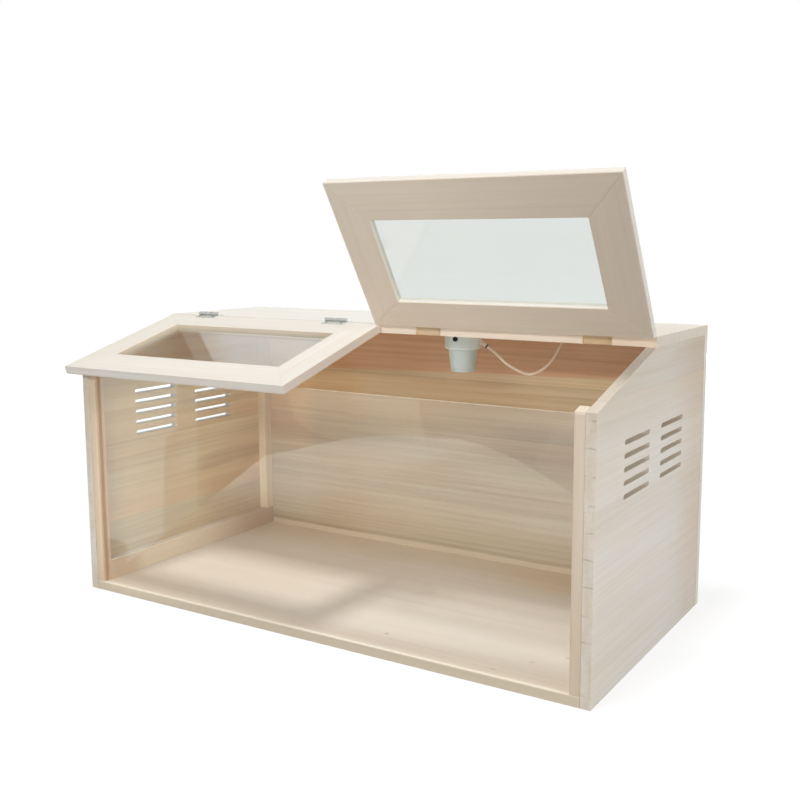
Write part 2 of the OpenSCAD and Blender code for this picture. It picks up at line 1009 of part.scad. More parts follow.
// Ties: flat bands round the loops on both sides of the coil
module cord_ties() {
    room = cord_d / 2 + tie_t;
    inside_l = coil_out - coil_in + 2 * room;
    inside_h = coil_z2 + room - tie_t;
    color("whitesmoke")
        for (s = [-1, 1])
            translate([coil_x + s * (coil_in + coil_out) / 2, coil_y, 0])
                difference() {
                    translate([-inside_l / 2 - tie_t, -tie_w / 2, 0])
                        cube([inside_l + 2 * tie_t, tie_w, inside_h + 2 * tie_t]);
                    translate([-inside_l / 2, -tie_w / 2 - cut, tie_t])
                        cube([inside_l, tie_w + 2 * cut, inside_h]);
                }
}

// Plug lying on its flat side, its tail towards the coil
module plug_body() {
    shoulder_share = 0.35;
    neck_share = 0.3;
    tail_x = coil_end[0] - tail_l;
    face_x = tail_x - plug_l;
    neck = plug_w * neck_share;
    shoulder_x = tail_x - plug_l * shoulder_share;
    outline = [
        [tail_x, neck / 2], [shoulder_x, plug_w / 2], [face_x, plug_w / 2],
        [face_x, -plug_w / 2], [shoulder_x, -plug_w / 2], [tail_x, -neck / 2]
    ];
    color("white")
        difference() {
            union() {
                translate([0, lead_y, 0])
                    linear_extrude(2 * coil_z2)
                        polygon(outline);
                translate(coil_end)
                    rotate([0, -90, 0])
                        cylinder(d1 = cord_d + cord_d / 2, d2 = neck, h = tail_l);
            }
            plug_pin_pair(plug_pin_d + 2 * screw_play, cut);
        }
}

// Two round pins, a third of their length held in the body
module plug_pin_pair(d, more) {
    face_x = coil_end[0] - tail_l - plug_l;
    held = plug_pin_l / 3;
    for (s = [-1, 1])
        translate([face_x + held, lead_y + s * plug_pin_step / 2, coil_z2])
            rotate([0, -90, 0])
                cylinder(d = d, h = held + plug_pin_l + more);
}

module plug_pins() {
    color("silver")
        plug_pin_pair(plug_pin_d, 0);
}

floor_board();
side_panel_left();
side_panel_right();
back_panel();
roof_board();
front_batten_left();
front_batten_right();
rear_batten_left();
rear_batten_right();
floor_cleat_left();
floor_cleat_right();
front_pane();
lid_left_stile_outer();
lid_left_stile_inner();
lid_left_hinge_rail();
lid_left_front_rail();
lid_left_pane();
lid_right_stile_outer();
lid_right_stile_inner();
lid_right_hinge_rail();
lid_right_front_rail();
lid_right_pane();
hinge_1_roof_leaf();
hinge_2_roof_leaf();
hinge_3_roof_leaf();
hinge_4_roof_leaf();
hinge_1_lid_leaf();
hinge_2_lid_leaf();
hinge_3_lid_leaf();
hinge_4_lid_leaf();
hinge_pins();
roof_leaf_screws();
lid_left_leaf_screws();
lid_right_leaf_screws();
lamp_canopy();
lamp_cup();
lamp_screw_shell();
lamp_contact();
lamp_strap();
lamp_strap_screws();
lamp_side_screws();
cord_gland();
wall_grommet();
cord_lead();
cord_coil();
cord_ties();
plug_body();
plug_pins();
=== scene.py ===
"""Looks of the chick brooder box: pale boards with eased edges, clear sheets, steel hinges and a
bulb holder with its cord, on a plain white stage. Metres, in the part's own frame."""

import json
import math

import bmesh
import bpy
from bpy.props import FloatProperty, FloatVectorProperty, IntProperty, PointerProperty
from mathutils import Matrix, Vector


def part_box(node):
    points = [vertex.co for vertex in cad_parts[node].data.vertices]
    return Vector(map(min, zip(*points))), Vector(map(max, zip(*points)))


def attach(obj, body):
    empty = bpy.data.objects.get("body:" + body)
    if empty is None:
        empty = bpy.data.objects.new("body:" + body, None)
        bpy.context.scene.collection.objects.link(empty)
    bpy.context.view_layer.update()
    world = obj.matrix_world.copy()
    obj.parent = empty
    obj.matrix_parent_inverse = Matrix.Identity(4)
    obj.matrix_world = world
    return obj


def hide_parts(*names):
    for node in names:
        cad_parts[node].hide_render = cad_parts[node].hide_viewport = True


bl_info = {
    "name": "Chick brooder box",
    "version": (1, 0, 0),
    "blender": (4, 5, 0),
    "location": "3D View > Sidebar > Brooder",
    "description": "Dresses the brooder box: boards, lids, hinges, bulb holder and cord",
    "category": "Object",
}

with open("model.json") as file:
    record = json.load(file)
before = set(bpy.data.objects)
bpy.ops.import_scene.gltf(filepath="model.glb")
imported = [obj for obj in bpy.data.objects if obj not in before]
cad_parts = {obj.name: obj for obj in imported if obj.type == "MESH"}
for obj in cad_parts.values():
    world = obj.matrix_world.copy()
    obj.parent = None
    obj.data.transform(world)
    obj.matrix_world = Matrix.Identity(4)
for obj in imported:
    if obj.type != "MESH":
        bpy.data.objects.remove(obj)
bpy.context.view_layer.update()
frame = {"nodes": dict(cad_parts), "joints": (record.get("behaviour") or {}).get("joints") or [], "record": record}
MM = 0.001
X, Y, Z = Vector((1, 0, 0)), Vector((0, 1, 0)), Vector((0, 0, 1))
SIDES = ("left", "right")
BODY_OF = {n: body for body, nodes in frame["record"]["behaviour"]["bodies"].items() for n in nodes}
PIN = next(Vector(j["pos_m"]) for j in frame["joints"] if j["name"] == "left_lid_hinge")
HINGE_X = [sum(p.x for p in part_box(f"hinge_{k}_roof_leaf")) / 2 for k in (1, 2, 3, 4)]

# Faces of the wood that the finishes refer to
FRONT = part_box("floor_board")[0].y
FLOOR_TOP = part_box("floor_board")[1].z
BACK_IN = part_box("back_panel")[0].y
END_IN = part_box("side_panel_right")[0].x
BATTEN_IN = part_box("front_batten_right")[0].x
ROOF_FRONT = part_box("roof_board")[0].y
CLEAT_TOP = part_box("floor_cleat_left")[1].z
LID_UNDER = -12.8 * MM  # from the hinge pin, square to the lid
NOTCH_HALF = 19.8 * MM  # half of a hinge notch's width in the roof

# Bulb holder and cord, in millimetres
LAMP_X, LAMP_Y, CANOPY_R, ROOF_Z = 76, 87, 27, 387.0
HOLE = (204.0, 187.0, 378.0)  # where the cord meets the back's inner face
LEAD_Y = 225.0  # line of the cord and the plug behind the back
PLUG_Z = 7.4


def display(r, g, b):
    """Linear colour of an 8-bit display colour"""
    parts_of_one = (r / 255, g / 255, b / 255)
    return tuple(v / 12.92 if v <= 0.04045 else ((v + 0.055) / 1.055) ** 2.4 for v in parts_of_one)


# Sizes and colours that a user would change


def length(name, description, default):
    return FloatProperty(name=name, description=description, default=default, unit="LENGTH", precision=5)


def angle(name, description, degrees):
    return FloatProperty(name=name, description=description, default=math.radians(degrees), subtype="ANGLE")


def amount(name, description, default):
    return FloatProperty(name=name, description=description, default=default)


def spot(name, description, *place):
    return FloatVectorProperty(
        name=name, description=description, default=place, size=3, subtype="TRANSLATION", unit="LENGTH"
    )


def colour(name, description, *rgb):
    return FloatVectorProperty(
        name=name, description=description, default=display(*rgb), size=3, subtype="COLOR", min=0, max=1
    )


class BrooderSizes(bpy.types.PropertyGroup):
    """Sizes of the finish"""

    wood_ease: length("Wood edges", "Width of the eased edges of the boards", 0.0005)
    sheet_ease: length("Sheet edges", "Width of the eased edges of the clear sheets", 0.0003)
    metal_ease: length("Metal edges", "Width of the eased edges of the hinge leaves", 0.0002)
    lid_slope: angle("Lid slope", "Fall of the closed lids", 16)
    right_open: angle("Right lid", "Opening of the right lid as it stands", 74)
    vent_length: length("Vent length", "Length of a vent slot", 0.086)
    vent_height: length("Vent height", "Height of a vent slot", 0.006)
    vent_pitch: length("Vent pitch", "Distance between the rows of slots", 0.016)
    vent_rows: IntProperty(name="Vent rows", description="Rows of slots in a column", default=5, min=1)
    vent_top: length("Vent top", "Height of the top row", 0.287)
    vent_front: length("Vent front", "Middle of the front column", -0.070)
    vent_step: length("Vent step", "Distance between the columns", 0.127)
    screw_head: length("Screw head", "Diameter of a hinge screw's head", 0.0046)
    screw_shank: length("Screw shank", "Diameter of a hinge screw", 0.0026)
    cord_width: length("Cord", "Diameter of the cord", 0.004)
    thread_pitch: length("Thread", "Pitch of the bulb thread", 0.0036)


class BrooderColours(bpy.types.PropertyGroup):
    """Colours of the finishes"""

    board: colour("Boards", "Pale wood of the lids, roof, ends and back", 241, 235, 225)
    board_line: colour("Board grain", "Growth lines of the pale wood", 218, 203, 182)
    board_warm: colour("Board patches", "Warmer patches of the pale wood", 238, 224, 207)
    floor: colour("Floor", "Wood of the floor and cleats", 237, 229, 218)
    floor_line: colour("Floor grain", "Growth lines of the floor", 217, 201, 179)
    floor_warm: colour("Floor patches", "Warmer patches of the floor", 234, 220, 203)
    batten: colour("Battens", "Wood of the front and rear battens", 233, 217, 196)
    batten_line: colour("Batten grain", "Growth lines of the battens", 210, 186, 157)
    batten_warm: colour("Batten patches", "Warmer patches of the battens", 232, 210, 187)
    front_sheet: colour("Front sheet", "Light that one face of the clear front lets through", 254, 254, 253)
    lid_sheet: colour("Lid sheets", "Light that one face of a lid's clear pane lets through", 240, 242, 240)
    sheet_edge: colour("Sheet edge", "Cut edges of the clear sheets", 228, 205, 180)
    steel: colour("Hinge steel", "Plated steel of the hinges", 222, 221, 216)
    # the cup's colour: the white plastic darkened by painted shade
    holder: colour("Bulb holder", "Moulded holder", 198, 211, 207)
    brass: colour("Contact brass", "Screw shell and contact", 206, 176, 110)
    black: colour("Black screws", "Blackened screws", 24, 24, 25)
    rubber: colour("Rubber", "Grommet and gland", 66, 60, 57)
    cord: colour("Cord", "Cord and ties", 240, 222, 202)
    pin: colour("Plug pins", "Plated pins of the plug", 205, 202, 192)


class BrooderStage(bpy.types.PropertyGroup):
    """Camera and light"""

    lens: amount("Lens", "Focal length on a 36 mm sensor", 45.944)
    eye: spot("Eye", "Place of the camera", 0.8008, -1.2029, 0.5122)
    turn: angle("Turn", "Camera's turn from the front", -30.97)
    tilt: angle("Tilt", "Camera's fall below the horizon", 8.04)
    shift: FloatVectorProperty(name="Shift", description="Framing shift", default=(-0.0427, -0.0161), size=2)
    key: amount("Key light", "Power of the strip light overhead", 156)
    key_at: spot("Key place", "Place of the strip light overhead", -0.21, -0.98, 6.0)
    rear: amount("Rear soft light", "Power of the soft light on the back", 45.0)
    inner: amount("Inner fill", "Power of the soft light that falls in through the front", 0.38)
    front: amount("Front light", "Power of the strip light in front", 35)
    front_at: spot("Front place", "Place of the strip light in front", -0.2, -3.2, 1.45)
    side: amount("Side light", "Power of the soft light on the right", 50)
    fill: amount("Fill light", "Strength of the white surround", 0.34)


def sizes():
    return bpy.context.scene.brooder_sizes


def colours():
    return bpy.context.scene.brooder_colours


# Node trees


class Node:
    """A new node of a tree: its outputs by name or number, its inputs set to numbers or linked to values"""

    def __init__(self, tree, kind, inputs=None, **settings):
        self.tree, self.made = tree, tree.nodes.new(kind)
        for name, setting in settings.items():
            setattr(self.made, name, setting)
        for key, value in (inputs or {}).items():
            self.feed(key, value)

    def __getitem__(self, key):
        return Value(self.tree, self.made.outputs[key])

    def feed(self, key, value):
        if isinstance(value, Value):
            self.tree.links.new(value.socket, self.made.inputs[key])
        else:
            self.made.inputs[key].default_value = value


class Value:
    """An output of a node; sums, differences, products and quotients of values become math nodes"""

    def __init__(self, tree, socket):
        self.tree, self.socket = tree, socket

    def calc(self, operation, *others):
        inputs = dict(enumerate((self, *others)))
        return Node(self.tree, "ShaderNodeMath", inputs, operation=operation)[0]

    def vector(self, operation, *others, out="Vector"):
        inputs = dict(enumerate((self, *others)))
        return Node(self.tree, "ShaderNodeVectorMath", inputs, operation=operation)[out]

    def __add__(self, other):
        return self.calc("ADD", other)

    def __sub__(self, other):
        return self.calc("SUBTRACT", other)

    def __rsub__(self, other):
        return Node(self.tree, "ShaderNodeMath", {0: other, 1: self}, operation="SUBTRACT")[0]

    def __mul__(self, other):
        return self.calc("MULTIPLY", other)

    def __truediv__(self, other):
        return self.calc("DIVIDE", other)

    def __abs__(self):
        return self.calc("ABSOLUTE")


def mix(factor, a, b, blend="MIX"):
    tree = next(v.tree for v in (factor, a, b) if isinstance(v, Value))
    inputs = {0: factor, 6: a, 7: b}
    return Node(tree, "ShaderNodeMix", inputs, data_type="RGBA", blend_type=blend, clamp_factor=True)[2]


def ramp(value, start, end, low=0.0, high=1.0, kind="LINEAR"):
    """Goes from low at start to high at end, and stays there"""
    inputs = {0: value, 1: start, 2: end, 3: low, 4: high}
    return Node(value.tree, "ShaderNodeMapRange", inputs, interpolation_type=kind)[0]


def soft(value, start, end, low=0.0, high=1.0):
    """A ramp with rounded ends"""
    return ramp(value, start, end, low, high, "SMOOTHSTEP")


def band(value, low, high, edge):
    """1 between two values, with soft limits"""
    return soft(value, low - edge, low + edge) * soft(value, high + edge, high - edge)


def skin(value, face, near=0.2 * MM, far=0.6 * MM):
    """1 on a face and 0 a little way behind it"""
    return ramp(value, face + far, face + near)


def noise(at, scale, detail=2.0, roughness=0.5):
    """Clouds between 0 and 1; a scale of three numbers stretches them"""
    if isinstance(scale, tuple):
        at, scale = at.vector("MULTIPLY", scale), 1.0
    inputs = {"Vector": at, "Scale": scale, "Detail": detail, "Roughness": roughness}
    return Node(at.tree, "ShaderNodeTexNoise", inputs)["Fac"]


def parts(at):
    n = Node(at.tree, "ShaderNodeSeparateXYZ", {0: at})
    return n[0], n[1], n[2]


def offset(axis, value):
    """Vector with one part"""
    return Node(value.tree, "ShaderNodeCombineXYZ", {axis: value})[0]


def grey(value):
    return Node(value.tree, "ShaderNodeCombineColor", {0: value, 1: value, 2: value})[0]


def rgba(c):
    return (c[0], c[1], c[2], 1.0)


def tinted(color, mask, tint):
    return mix(mask, color, rgba(tint), "MULTIPLY")


def tints(color, rows, where=None):
    """Tints a colour by rows of a mask and a tint, and only where another mask is, if there is one"""
    for mask, tint in rows:
        color = tinted(color, where * mask if where else mask, tint)
    return color


def deeper(color, mask, power, tint):
    """Same wood with a stronger figure and another tint"""
    strong = Node(color.tree, "ShaderNodeGamma", {0: color, 1: power})[0]
    return mix(mask, color, tinted(strong, 1.0, tint))


def turned_to(at, along, across, middle=(0.0, 0.0, 0.0)):
    """Coordinates of a pattern: X runs along its grain and Y across it"""
    a = along.normalized()
    n = a.cross(across).normalized()
    turn = Matrix((a, n.cross(a), n)).transposed().to_euler()
    inputs = {"Vector": at, "Location": middle, "Rotation": turn}
    return Node(at.tree, "ShaderNodeMapping", inputs, vector_type="TEXTURE")[0]


def either(factor, a, b):
    return Node(factor.tree, "ShaderNodeMixShader", {0: factor, 1: a, 2: b})[0]


def by_ray(tree, lit, shown, mirrored):
    """One shader that lights the part, one that the camera sees and one that a mirror sees"""
    path = Node(tree, "ShaderNodeLightPath")
    seen = path["Is Camera Ray"].calc("MAXIMUM", path["Is Transmission Ray"])
    return either(path["Is Glossy Ray"], either(seen, lit, shown), mirrored)


def glow(tree, color, strength):
    return Node(tree, "ShaderNodeEmission", {"Color": color, "Strength": strength})[0]


# Shared groups

VECTOR, COLOUR, NUMBER = "NodeSocketVector", "NodeSocketColor", "NodeSocketFloat"
FINISH_OUT = {"Color": COLOUR, "Roughness": NUMBER, "Height": NUMBER}


def ends_of(tree, ins, outs):
    """Names a tree's sockets and returns its end nodes; an input is a kind of socket or a default"""
    for name, given in ins.items():
        kind = given if isinstance(given, str) else "NodeSocketInt" if isinstance(given, int) else NUMBER
        socket = tree.interface.new_socket(name=name, in_out="INPUT", socket_type=kind)
        if not isinstance(given, str):
            socket.default_value = given
    for name, kind in outs.items():
        tree.interface.new_socket(name=name, in_out="OUTPUT", socket_type=kind)
    return Node(tree, "NodeGroupInput"), Node(tree, "NodeGroupOutput")


def shared_group(name, ins, outs, build):
    """Node group that several materials use, built once"""
    tree = bpy.data.node_groups.get(name)
    if not tree:
        tree = bpy.data.node_groups.new(name, "ShaderNodeTree")
        build(*ends_of(tree, ins, outs))
    return tree


def wood_grain():
    """Sawn wood as a solid pattern: X along the grain, Y across the board, Z through it. Boards are
    glued up from strips, each with its own heart, growth lines, streaks and tone"""

    def build(i, out):
        at, width = i["Vector"], i["Strip Width"]
        x, y, z = parts(at)
        row = y / width + i["Seed"]
        number = i["Seed"].calc("MULTIPLY_ADD", 7.3, row.calc("FLOOR"))
        dice = Node(at.tree, "ShaderNodeTexWhiteNoise", {"W": number}, noise_dimensions="1D")["Color"]
        lot = parts(dice)
        here = at.vector("ADD", dice.vector("MULTIPLY", (4.0, 0.7, 0.3)))
        off_middle = row.calc("FRACT") - 0.5
        heart_y = off_middle * width + (lot[1] - 0.5) * 0.09
        heart_z = z + (lot[2] * 0.08 + 0.025)
        rings = (heart_y * heart_y + heart_z * heart_z).calc("SQRT") + x * ((lot[0] - 0.5) * 0.024)
        rings = rings + (noise(here, (1.5, 9.0, 9.0)) - 0.5) * i["Sway"]
        rings = rings + (noise(here, (9.0, 55.0, 55.0)) - 0.5) * 0.002
        phase = (rings / i["Ring Width"]).calc("FRACT")
        line = soft(phase, 0.25, 0.92) * soft(phase, 1.0, 0.93)
        line = line * ramp(noise(here, (1.5, 22.0, 22.0)), 0.35, 0.7, 0.15, 1.0)
        streak = noise(here, (3.5, 210.0, 210.0), 4.0, 0.6)
        fibre = noise(here, (26.0, 1300.0, 1300.0))
        broad = noise(here, (2.4, 15.0, 15.0), 3.0)
        dark = ramp(streak, 0.38, 0.72) * i["Streak Tone"] + line * i["Ring Tone"]
        dark = (fibre - 0.5) * 0.22 + dark
        wood = mix(soft(broad, 0.35, 0.68) * i["Warm Tone"], i["Wood"], i["Warm"])
        wood = mix(dark, wood, i["Line"])
        from_joint = (0.5 - abs(off_middle)) * width
        tone = ((lot[0] - 0.62) * i["Strip Tone"] + 1.0) * ramp(from_joint, 0.0, 0.6 * MM, 0.9, 1.0)
        out.feed("Color", mix(1.0, wood, grey(tone), "MULTIPLY"))
        out.feed("Roughness", streak * 0.22 + 0.44)
        out.feed("Height", streak * 0.5 + (line * -0.35 + fibre * 0.8))

    ins = {
        "Vector": VECTOR, "Wood": COLOUR, "Line": COLOUR, "Warm": COLOUR, "Strip Width": 0.1,
        "Strip Tone": 0.1, "Ring Width": 0.007, "Ring Tone": 0.3, "Streak Tone": 0.3, "Warm Tone": 0.4,
        "Sway": 0.01, "Seed": 0.0,
    }
    return shared_group("wood_grain", ins, FINISH_OUT, build)


def knot_spot():
    """Mask of a small knot: 1 in its middle, 0 outside its ragged rim"""

    def build(i, out):
        away = i["Vector"].vector("SUBTRACT", i["Middle"]).vector("DIVIDE", i["Size"])
        far = noise(i["Vector"], 260.0) * 0.8 + away.vector("LENGTH", out="Value")
        out.feed("Mask", soft(far, 1.3, 0.55))

    ins = {"Vector": VECTOR, "Middle": VECTOR, "Size": VECTOR}
    return shared_group("knot_spot", ins, {"Mask": NUMBER}, build)


def moulded_surface():
    """Moulded or rubbed surface: a fine grain and soft smudges"""

    def build(i, out):
        smudge = soft(noise(i["Vector"], 45.0, 4.0, 0.6), 0.35, 0.75)
        out.feed("Color", mix(smudge * i["Smudge Tone"], i["Base"], i["Smudge"]))
        out.feed("Roughness", ramp(smudge, 0.0, 1.0, i["Rough Low"], i["Rough High"]))
        out.feed("Height", noise(i["Vector"], i["Grain"], 3.0))

    ins = {
        "Vector": VECTOR, "Base": COLOUR, "Smudge": COLOUR, "Smudge Tone": 0.3, "Grain": 1500.0,
        "Rough Low": 0.3, "Rough High": 0.5,
    }
    return shared_group("moulded_surface", ins, FINISH_OUT, build)


# Finishes


def blank(name):
    """New material with an empty tree: the material, its output and its Object coordinates"""
    m = bpy.data.materials.new(name)
    m.use_nodes = True
    m.node_tree.nodes.clear()
    out = Node(m.node_tree, "ShaderNodeOutputMaterial")
    return m, out, Node(m.node_tree, "ShaderNodeTexCoord")["Object"]


def surface(out, color, got, bump, relief, **plain):
    """Principled surface with got's Roughness and Height; the other values are set on its own sockets"""
    height = {"Strength": bump, "Distance": relief, "Height": got["Height"]}
    raised = Node(out.tree, "ShaderNodeBump", height)[0]
    inputs = {"Base Color": color, "Roughness": got["Roughness"], "Normal": raised, **plain}
    out.feed("Surface", Node(out.tree, "ShaderNodeBsdfPrincipled", inputs)[0])


FIGURE = ("Strip Width", "Strip Tone", "Ring Width", "Ring Tone", "Streak Tone", "Warm Tone", "Sway")
FINISHES = {
    "board": (0.118, 0.10, 0.012, 0.24, 0.30, 0.7, 0.012),
    "back": (0.088, 0.05, 0.011, 0.24, 0.32, 0.6, 0.006),
    "lid": (0.095, 0.03, 0.010, 0.16, 0.20, 0.3, 0.008),
    "floor": (0.13, 0.05, 0.012, 0.16, 0.20, 0.4, 0.012),
    "batten": (0.05, 0.04, 0.008, 0.22, 0.26, 0.4, 0.004),
}


def wood(name, kind, along, across, middle, seed, overlay):
    """Wood of one piece: its kind, the run of its grain, its own cut of the pattern and its tints"""
    m, out, at = blank(name)
    tone = "board" if kind in ("lid", "back") else kind
    base, line, warm = (rgba(getattr(colours(), tone + end)) for end in ("", "_line", "_warm"))
    inputs = {"Wood": base, "Line": line, "Warm": warm, "Seed": seed, **dict(zip(FIGURE, FINISHES[kind]))}
    inputs["Vector"] = turned_to(at, along, across, middle)
    grain = Node(out.tree, "ShaderNodeGroup", inputs, node_tree=wood_grain())
    surface(out, overlay(at, grain["Color"]), grain, 0.35, 0.4 * MM)
    return m


def back_face(at, color):
    """Inner face of the back: deeper wood, painted shade low down and toward the right, a redder top strip that is
    the roof's painted shadow, a pale foot and a dark painted shade line above it
    """
    x, y, z = parts(at)
    inside = skin(y, BACK_IN)
    rough = noise(at, (11.0, 1.0, 11.0), 4.0) - 0.5
    level = rough * 0.004 + z
    # level of the edge of the roof's painted shadow, which rises a little to the right
    strip = x * -0.03 + (rough * 0.002 + z)
    color = deeper(color, inside, 2.4, (0.87, 0.78, 0.64))
    color = tints(color, (
        # painted shade: darker below about 0.2 m
        (soft(z, 0.26, 0.15), (0.78, 0.80, 0.82)),
        (band(x, -0.272, -0.18, 0.03), (0.98, 0.92, 0.85)),
        (soft(x, -0.26, -0.31) * soft(z, 0.12, 0.20), (1.22, 1.12, 0.98)),
        (soft(z, 0.12, 0.08), (1.06, 1.09, 1.10)),
        # painted shade toward the right below about 0.27 m, and a painted shade band across the right between 0.17
        # and 0.235 m
        (soft(x, -0.08, 0.02) * soft(z, 0.29, 0.25), (0.94, 0.96, 0.98)),
        (band(z, 0.170, 0.235, 0.015) * soft(x, 0.02, 0.14), (0.84, 0.84, 0.86)),
        # painted shadow of the roof: the redder strip above about 0.31 m
        (soft(strip, 0.3075, 0.3100), (1.03, 0.82, 0.80)),
        # painted shade: the dark line just above the pale foot
        (band(level, 0.0225, 0.028, 0.002), (0.86, 0.82, 0.78)),
    ), inside)
    foot = inside * soft(level, 0.0222, 0.0205)
    return mix(foot * 0.6, color, rgba(display(218, 198, 170)))


def end_face(at, color):
    """End board: deeper inside and darker inside toward the front, warmer and darker at the back, a little warm
    painted shade toward the top, with dark checks in its right front edge
    """
    x, y, z = parts(at)
    inside = skin(abs(x), END_IN)
    ragged = noise(at, (1.0, 7.0, 42.0), 3.0) - 0.5
    level = ragged * 0.03 + z
    heart = band(level, 0.140, 0.164, 0.004).calc("MAXIMUM", band(level, 0.02, 0.116, 0.012) * 0.6)
    color = deeper(color, inside, 2.2, (1.06, 1.01, 0.79))
    color = tints(color, (
        (soft(y, -0.12, -0.187), (0.88, 0.86, 0.88)),
        (soft(z, 0.26, 0.20) * soft(y, 0.02, -0.06), (0.93, 0.90, 0.93)),
        (heart * soft(ragged * 0.12 + y, -0.02, 0.06), (0.82, 0.74, 0.68)),
    ), inside)
    front = skin(y, FRONT, 0.6 * MM, 1.0 * MM)
    patch = ramp(noise(at, (70.0, 1.0, 30.0), 3.0), 0.35, 0.65, 0.2, 1.0)
    wave = noise(at, (60.0, 1.0, 20.0)) - 0.5
    row = ((wave * 0.008 + z) / 0.031).calc("FRACT")
    check = band(row, 0.47, 0.52, 0.025) * ramp(noise(at, 60.0), 0.40, 0.55) * front * ramp(x, -0.3, 0.3)
    return tints(color, (
        (soft(y, 0.03, 0.19), (0.92, 0.84, 0.77)),
        # painted shade toward the top
        (soft(z, 0.25, 0.37), (0.88, 0.85, 0.82)),
        (front * patch, (0.90, 0.87, 0.82)),
        (check * 0.65, (0.62, 0.55, 0.46)),
    ))


KNOTS = (  # place in X and Y, length and width
    (0.300, -0.140, 0.006, 0.003), (0.269, -0.182, 0.006, 0.0025),
    (0.332, -0.107, 0.004, 0.003), (0.100, -0.154, 0.0045, 0.0040),
)


def floor_face(at, color):
    """Floor: a tanner front edge, a painted highlight as a pale lip before the sheet, a painted shade strip just
    behind the sheet, painted shade deeper toward the back and the back right, and small knots
    """
    x, y, z = parts(at)
    top = skin(z, FLOOR_TOP, -1.1 * MM, -1.4 * MM)
    color = tints(color, (
        (skin(y, FRONT, 0.4 * MM, 0.8 * MM), (0.87, 0.82, 0.72)),
        # painted highlight: the pale lip along the top edge before the sheet
        (top * skin(y, FRONT, 4.0 * MM, 4.5 * MM), (1.17, 1.20, 1.22)),
        # painted shade on the strip just behind the sheet
        (band(y, -0.1925, -0.160, 0.010), (0.93, 0.91, 0.88)),
        # painted shade under the roof, deeper toward the back and more so at the back right
        (soft(y, 0.06, 0.18), (0.90, 0.83, 0.72)),
        (soft(y, 0.05, 0.12) * soft(x, 0.05, 0.25), (0.93, 0.85, 0.72)),
    ))
    for at_x, at_y, long, wide in KNOTS:
        inputs = {"Vector": at, "Middle": (at_x, at_y, FLOOR_TOP), "Size": (long, wide, 0.004)}
        mask = Node(at.tree, "ShaderNodeGroup", inputs, node_tree=knot_spot())["Mask"]
        color = mix(mask * 0.55, color, rgba(display(150, 122, 92)))
    return color


def roof_face(at, color):
    """Roof: painted light on its front edge, the open lid's painted shadow toward the right, and painted shade as
    tan wood in the hinge notches of its front edge
    """
    x, y, _ = parts(at)
    near, far = (band(abs(x), h - NOTCH_HALF, h + NOTCH_HALF, 0.2 * MM) for h in HINGE_X[2:])
    return tints(color, (
        # painted light on the front edge face
        (skin(y, ROOF_FRONT, 0.2 * MM, 0.5 * MM), (1.08, 1.0, 0.93)),
        # painted shadow of the open right lid on the roof's right end
        (soft(x, 0.26, 0.36), (0.93, 0.88, 0.83)),
        # painted shade in the hinge notches
        (near.calc("MAXIMUM", far) * band(y, -0.0122, -0.0096, 0.2 * MM), (0.95, 0.78, 0.56)),
    ))


def batten_face(at, color):
    """Front batten: deeper toward the inside and the foot, a dark painted shade line along the sheet, painted
    light on the left one's inner face behind the sheet, and a painted highlight on the top
    """
    x, y, z = parts(at)
    inner, left = skin(abs(x), BATTEN_IN), ramp(x, 0.0, -0.1)
    color = deeper(color, inner, 1.2, (0.88, 0.80, 0.74))
    return tints(color, (
        # painted shade: the dark line along the sheet
        (inner * band(y, -0.1962, -0.1905, 0.0006), (0.74, 0.70, 0.72)),
        (soft(z, 0.24, 0.06), (0.93, 0.90, 0.87)),
        # painted light on the left batten's inner face behind the sheet
        (inner * left * ramp(y, -0.1890, -0.1875), (1.10, 1.14, 1.18)),
        ((1.0 - inner) * left, (1.0, 0.97, 0.90)),
        # painted highlight on the top
        (ramp(z, 0.3306, 0.3309), (1.15, 1.18, 1.22)),
    ))


def rear_face(at, color):
    """Rear batten: as deep as the back beside it, with a painted highlight on its paler front and painted shade on
    its redder upper end
    """
    _, y, z = parts(at)
    return tints(color, (
        (1.0, (0.96, 0.85, 0.64)),
        # painted highlight on the front face
        (ramp(y, 0.1726, 0.1722), (1.02, 1.08, 1.14)),
        # painted shade on the upper end, under the roof
        (soft(z, 0.18, 0.28), (0.84, 0.78, 0.72)),
    ))


def cleat_face(at, color):
    """Cleat: painted shade on its tan side, a painted highlight on its paler top, and painted shade deeper at both
    ends
    """
    _, y, z = parts(at)
    top = skin(z, CLEAT_TOP, -0.5 * MM, -0.8 * MM)
    return tints(color, (
        # painted light: shade on the side and deeper shade at both ends, a highlight on the top
        (1.0 - top, (0.91, 0.83, 0.70)),
        (soft(y, -0.115, -0.150) * (1.0 - top), (0.86, 0.75, 0.65)),
        (top, (1.12, 1.10, 1.06)),
        (soft(y, 0.005, 0.150), (0.72, 0.57, 0.45)),
    ))


def lid_face(square, way, edge, warm):
    """Lid bar: painted shade where the lids meet, a painted warm shade of the given tint at the window's edge, a
    warmer painted shade on the underside, and more painted shade on it toward the right
    """

    def overlay(at, color):
        from_pin = at.vector("SUBTRACT", tuple(PIN))
        over, out = (from_pin.vector("DOT_PRODUCT", tuple(v), out="Value") for v in (square, way))
        under = skin(over, LID_UNDER, -0.2 * MM, 0.2 * MM)
        x = parts(at)[0]
        return tints(color, (
            # painted shade on the edges where the two lids meet
            (band(x, -1.2 * MM, 1.2 * MM, 0.2 * MM), (0.91, 0.88, 0.88)),
            # painted warm shade at the window's edge
            (band(out, edge - 0.6 * MM, edge + 0.6 * MM, 0.2 * MM), warm),
            # painted warm shade on the underside, deeper toward the right
            (under, (0.94, 0.87, 0.80)),
            (under * ramp(x, 0.14, 0.40), (0.80, 0.79, 0.78)),
        ))

    return overlay


